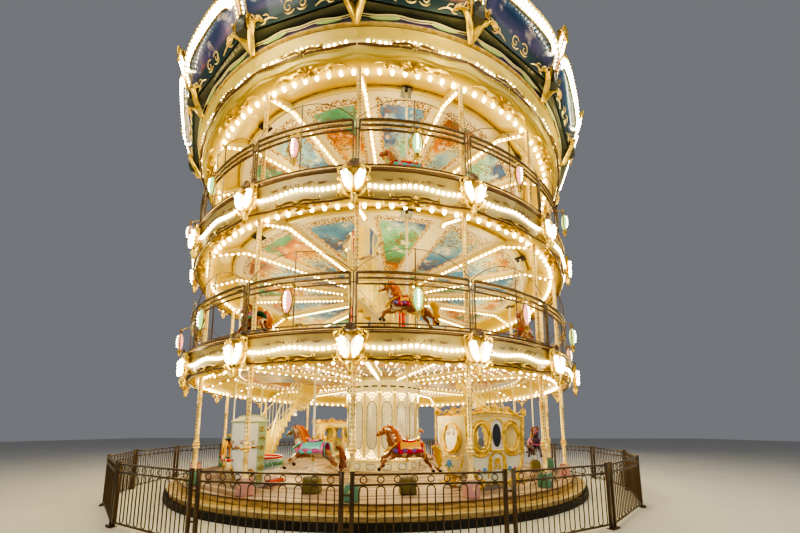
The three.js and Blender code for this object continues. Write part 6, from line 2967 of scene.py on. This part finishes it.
def boat_side():
    """The rail, scallops and gilding on one long side of a boat, facing -Y."""
    top = smooth_through([(-0.70, 0.535), (-0.48, 0.465), (0, 0.435), (0.48, 0.465), (0.70, 0.535)], 5)
    band = [(x, z - 0.045) for x, z in top[1:-1]] + [(x, z - 0.15) for x, z in reversed(top[2:-2])]
    scallops = []
    for i in range(9):
        x = -0.48 + 0.12 * i
        scallops.append(
            flowing("scallop", [(x - 0.05, 0.37), (x, 0.315), (x + 0.05, 0.37)], 0.011, 0.014, 4, steps=3)
        )
        scallops.append(ellipsoid("point", (x, -0.012, 0.295), (0.012, 0.008, 0.020), 0, 6, 5))
    gilt = [
        pair(curled("stem_curl", (0.60, 0.40), 0.09, 1.2, 1.4, -1, 0.026, 0.012, 6)),
        pair(
            flowing(
                "keel_wave",
                [(0.42, 0.06), (0.20, 0.14), (0.10, 0.09), (0.02, 0.18)],
                0.022,
                0.012,
                6,
                steps=4,
            )
        ),
        shell_boss(0.08, 0.09, 5, 0.014),
    ]
    moved(gilt[2], offset(0, 0, 0.17))
    return joined(
        "boat_side",
        paint(tube("red_rail", [(x, -0.004, z) for x, z in top], 0.026, 8), signal_red),
        paint(plate("band", band, 0.010, 0.002), boat_blue),
        paint(joined("scallops", *scallops), petal_green),
        paint(joined("gilt", *gilt), gold),
    )


near_side = moved(boat_side(), offset(0, -0.361, 0))
far_side = moved(boat_side(), turn(math.pi) @ offset(0, -0.361, 0))
cushion = paint(bar("cushion", (0.29, 0.60, 0.06), (0, 0, 0.455), 0.025), signal_red)
boat_trim = joined("boat_trim", near_side, far_side, cushion)
for i, station_number in enumerate((5, 13)):
    trim = joined(
        f"gondola_trim_{i + 1}",
        twin(boat_trim, at_rim(GONDOLA_R, MID_BAYS[station_number], FLOOR_TOP)),
    )
    ride_as_is(trim)
    repaint(f"gondola_{i + 1}", boat_white)
    print(trim.name, len(trim.data.polygons), "faces")
bpy.data.objects.remove(boat_trim)

# %% [markdown]
# ## Light
# The ride lights itself. Real bulbs are far too many to be lamps for the renderer, so their glass only
# glows, and a few warm lamps inside each storey do the lighting that all of them would do together.
# Soft studio light from the front and the back keeps the fence and the base readable.


# %% Lamps inside the storeys and studio lights
def lamp_at(name, kind, place, energy, colour, size=1.0, aim=None):
    select_only()
    bpy.ops.object.light_add(type=kind, location=place)
    light = bpy.context.object
    light.name = name
    light.data.energy = energy
    light.data.color = colour
    if kind == "AREA":
        light.data.size = size
    else:
        light.data.shadow_soft_size = size
    if aim is not None:
        direction = Vector(aim) - Vector(place)
        light.rotation_euler = direction.to_track_quat("-Z", "Y").to_euler()
    return light


WARM = (1.0, 0.86, 0.40)
INNER_LAMPS = {
    "lower": (60, 0.50, (1.0, 0.90, 0.52)),
    "middle": (56, 0.62, WARM),
    "upper": (56, 0.62, WARM),
}
INNER_LAMP_R, OUTER_LAMP_R = 4.0, 7.4
OUTER_LAMPS = 10
for storey, (bottom, top) in STOREYS.items():
    power, share, colour = INNER_LAMPS[storey]
    for i, azimuth in enumerate(MID_BAYS[::2]):
        x, y = INNER_LAMP_R * math.sin(azimuth), -INNER_LAMP_R * math.cos(azimuth)
        lamp_at(
            f"inner_{storey}_{i}",
            "POINT",
            (x, y, bottom + share * (top - bottom)),
            power,
            colour,
            0.45,
        )
for level, energy in ((MIDDLE - 0.4, 55), (UPPER - 0.4, 55), (ROOF - 0.4, 65)):
    for i in range(OUTER_LAMPS):
        azimuth = (i + 0.5) * 2 * math.pi / OUTER_LAMPS
        place = (OUTER_LAMP_R * math.sin(azimuth), -OUTER_LAMP_R * math.cos(azimuth), level - 0.3)
        lamp_at(f"outer_{i}", "POINT", place, energy, WARM, 0.5)
lamp_at("key", "AREA", (-9, -17, 12), 800, (1.0, 0.93, 0.82), 9, (0, 0, 4))
lamp_at("fill", "AREA", (13, -12, 7), 400, (0.95, 0.97, 1.0), 9, (0, 0, 4))
lamp_at("back", "AREA", (3, 16, 14), 900, (1.0, 0.97, 0.93), 9, (0, 0, 6))

world = bpy.data.worlds.new("studio") if bpy.context.scene.world is None else bpy.context.scene.world
bpy.context.scene.world = world
world.use_nodes = True
world.node_tree.nodes["Background"].inputs[0].default_value = (0.62, 0.64, 0.68, 1)
world.node_tree.nodes["Background"].inputs[1].default_value = 0.28

bpy.context.scene.view_settings.look = "AgX - High Contrast"

# %% [markdown]
# ## Floor
# A plain pale floor catches the light and shows where the fence stands. It isn't part of the ride.

# %% The floor
select_only()
bpy.ops.mesh.primitive_plane_add(size=120, location=(0, 0, 0))
ground = bpy.context.object
ground.name = "pale_floor"
pale_floor, tree, shader = new_material("pale_floor_plaster")
cloud = noise(tree, 0.8, 3.0)
plaster = blended(tree, cloud, (0.60, 0.59, 0.57), (0.68, 0.67, 0.65))
plug(tree, shader, {"Base Color": plaster, "Roughness": 0.8})
paint(ground, pale_floor)
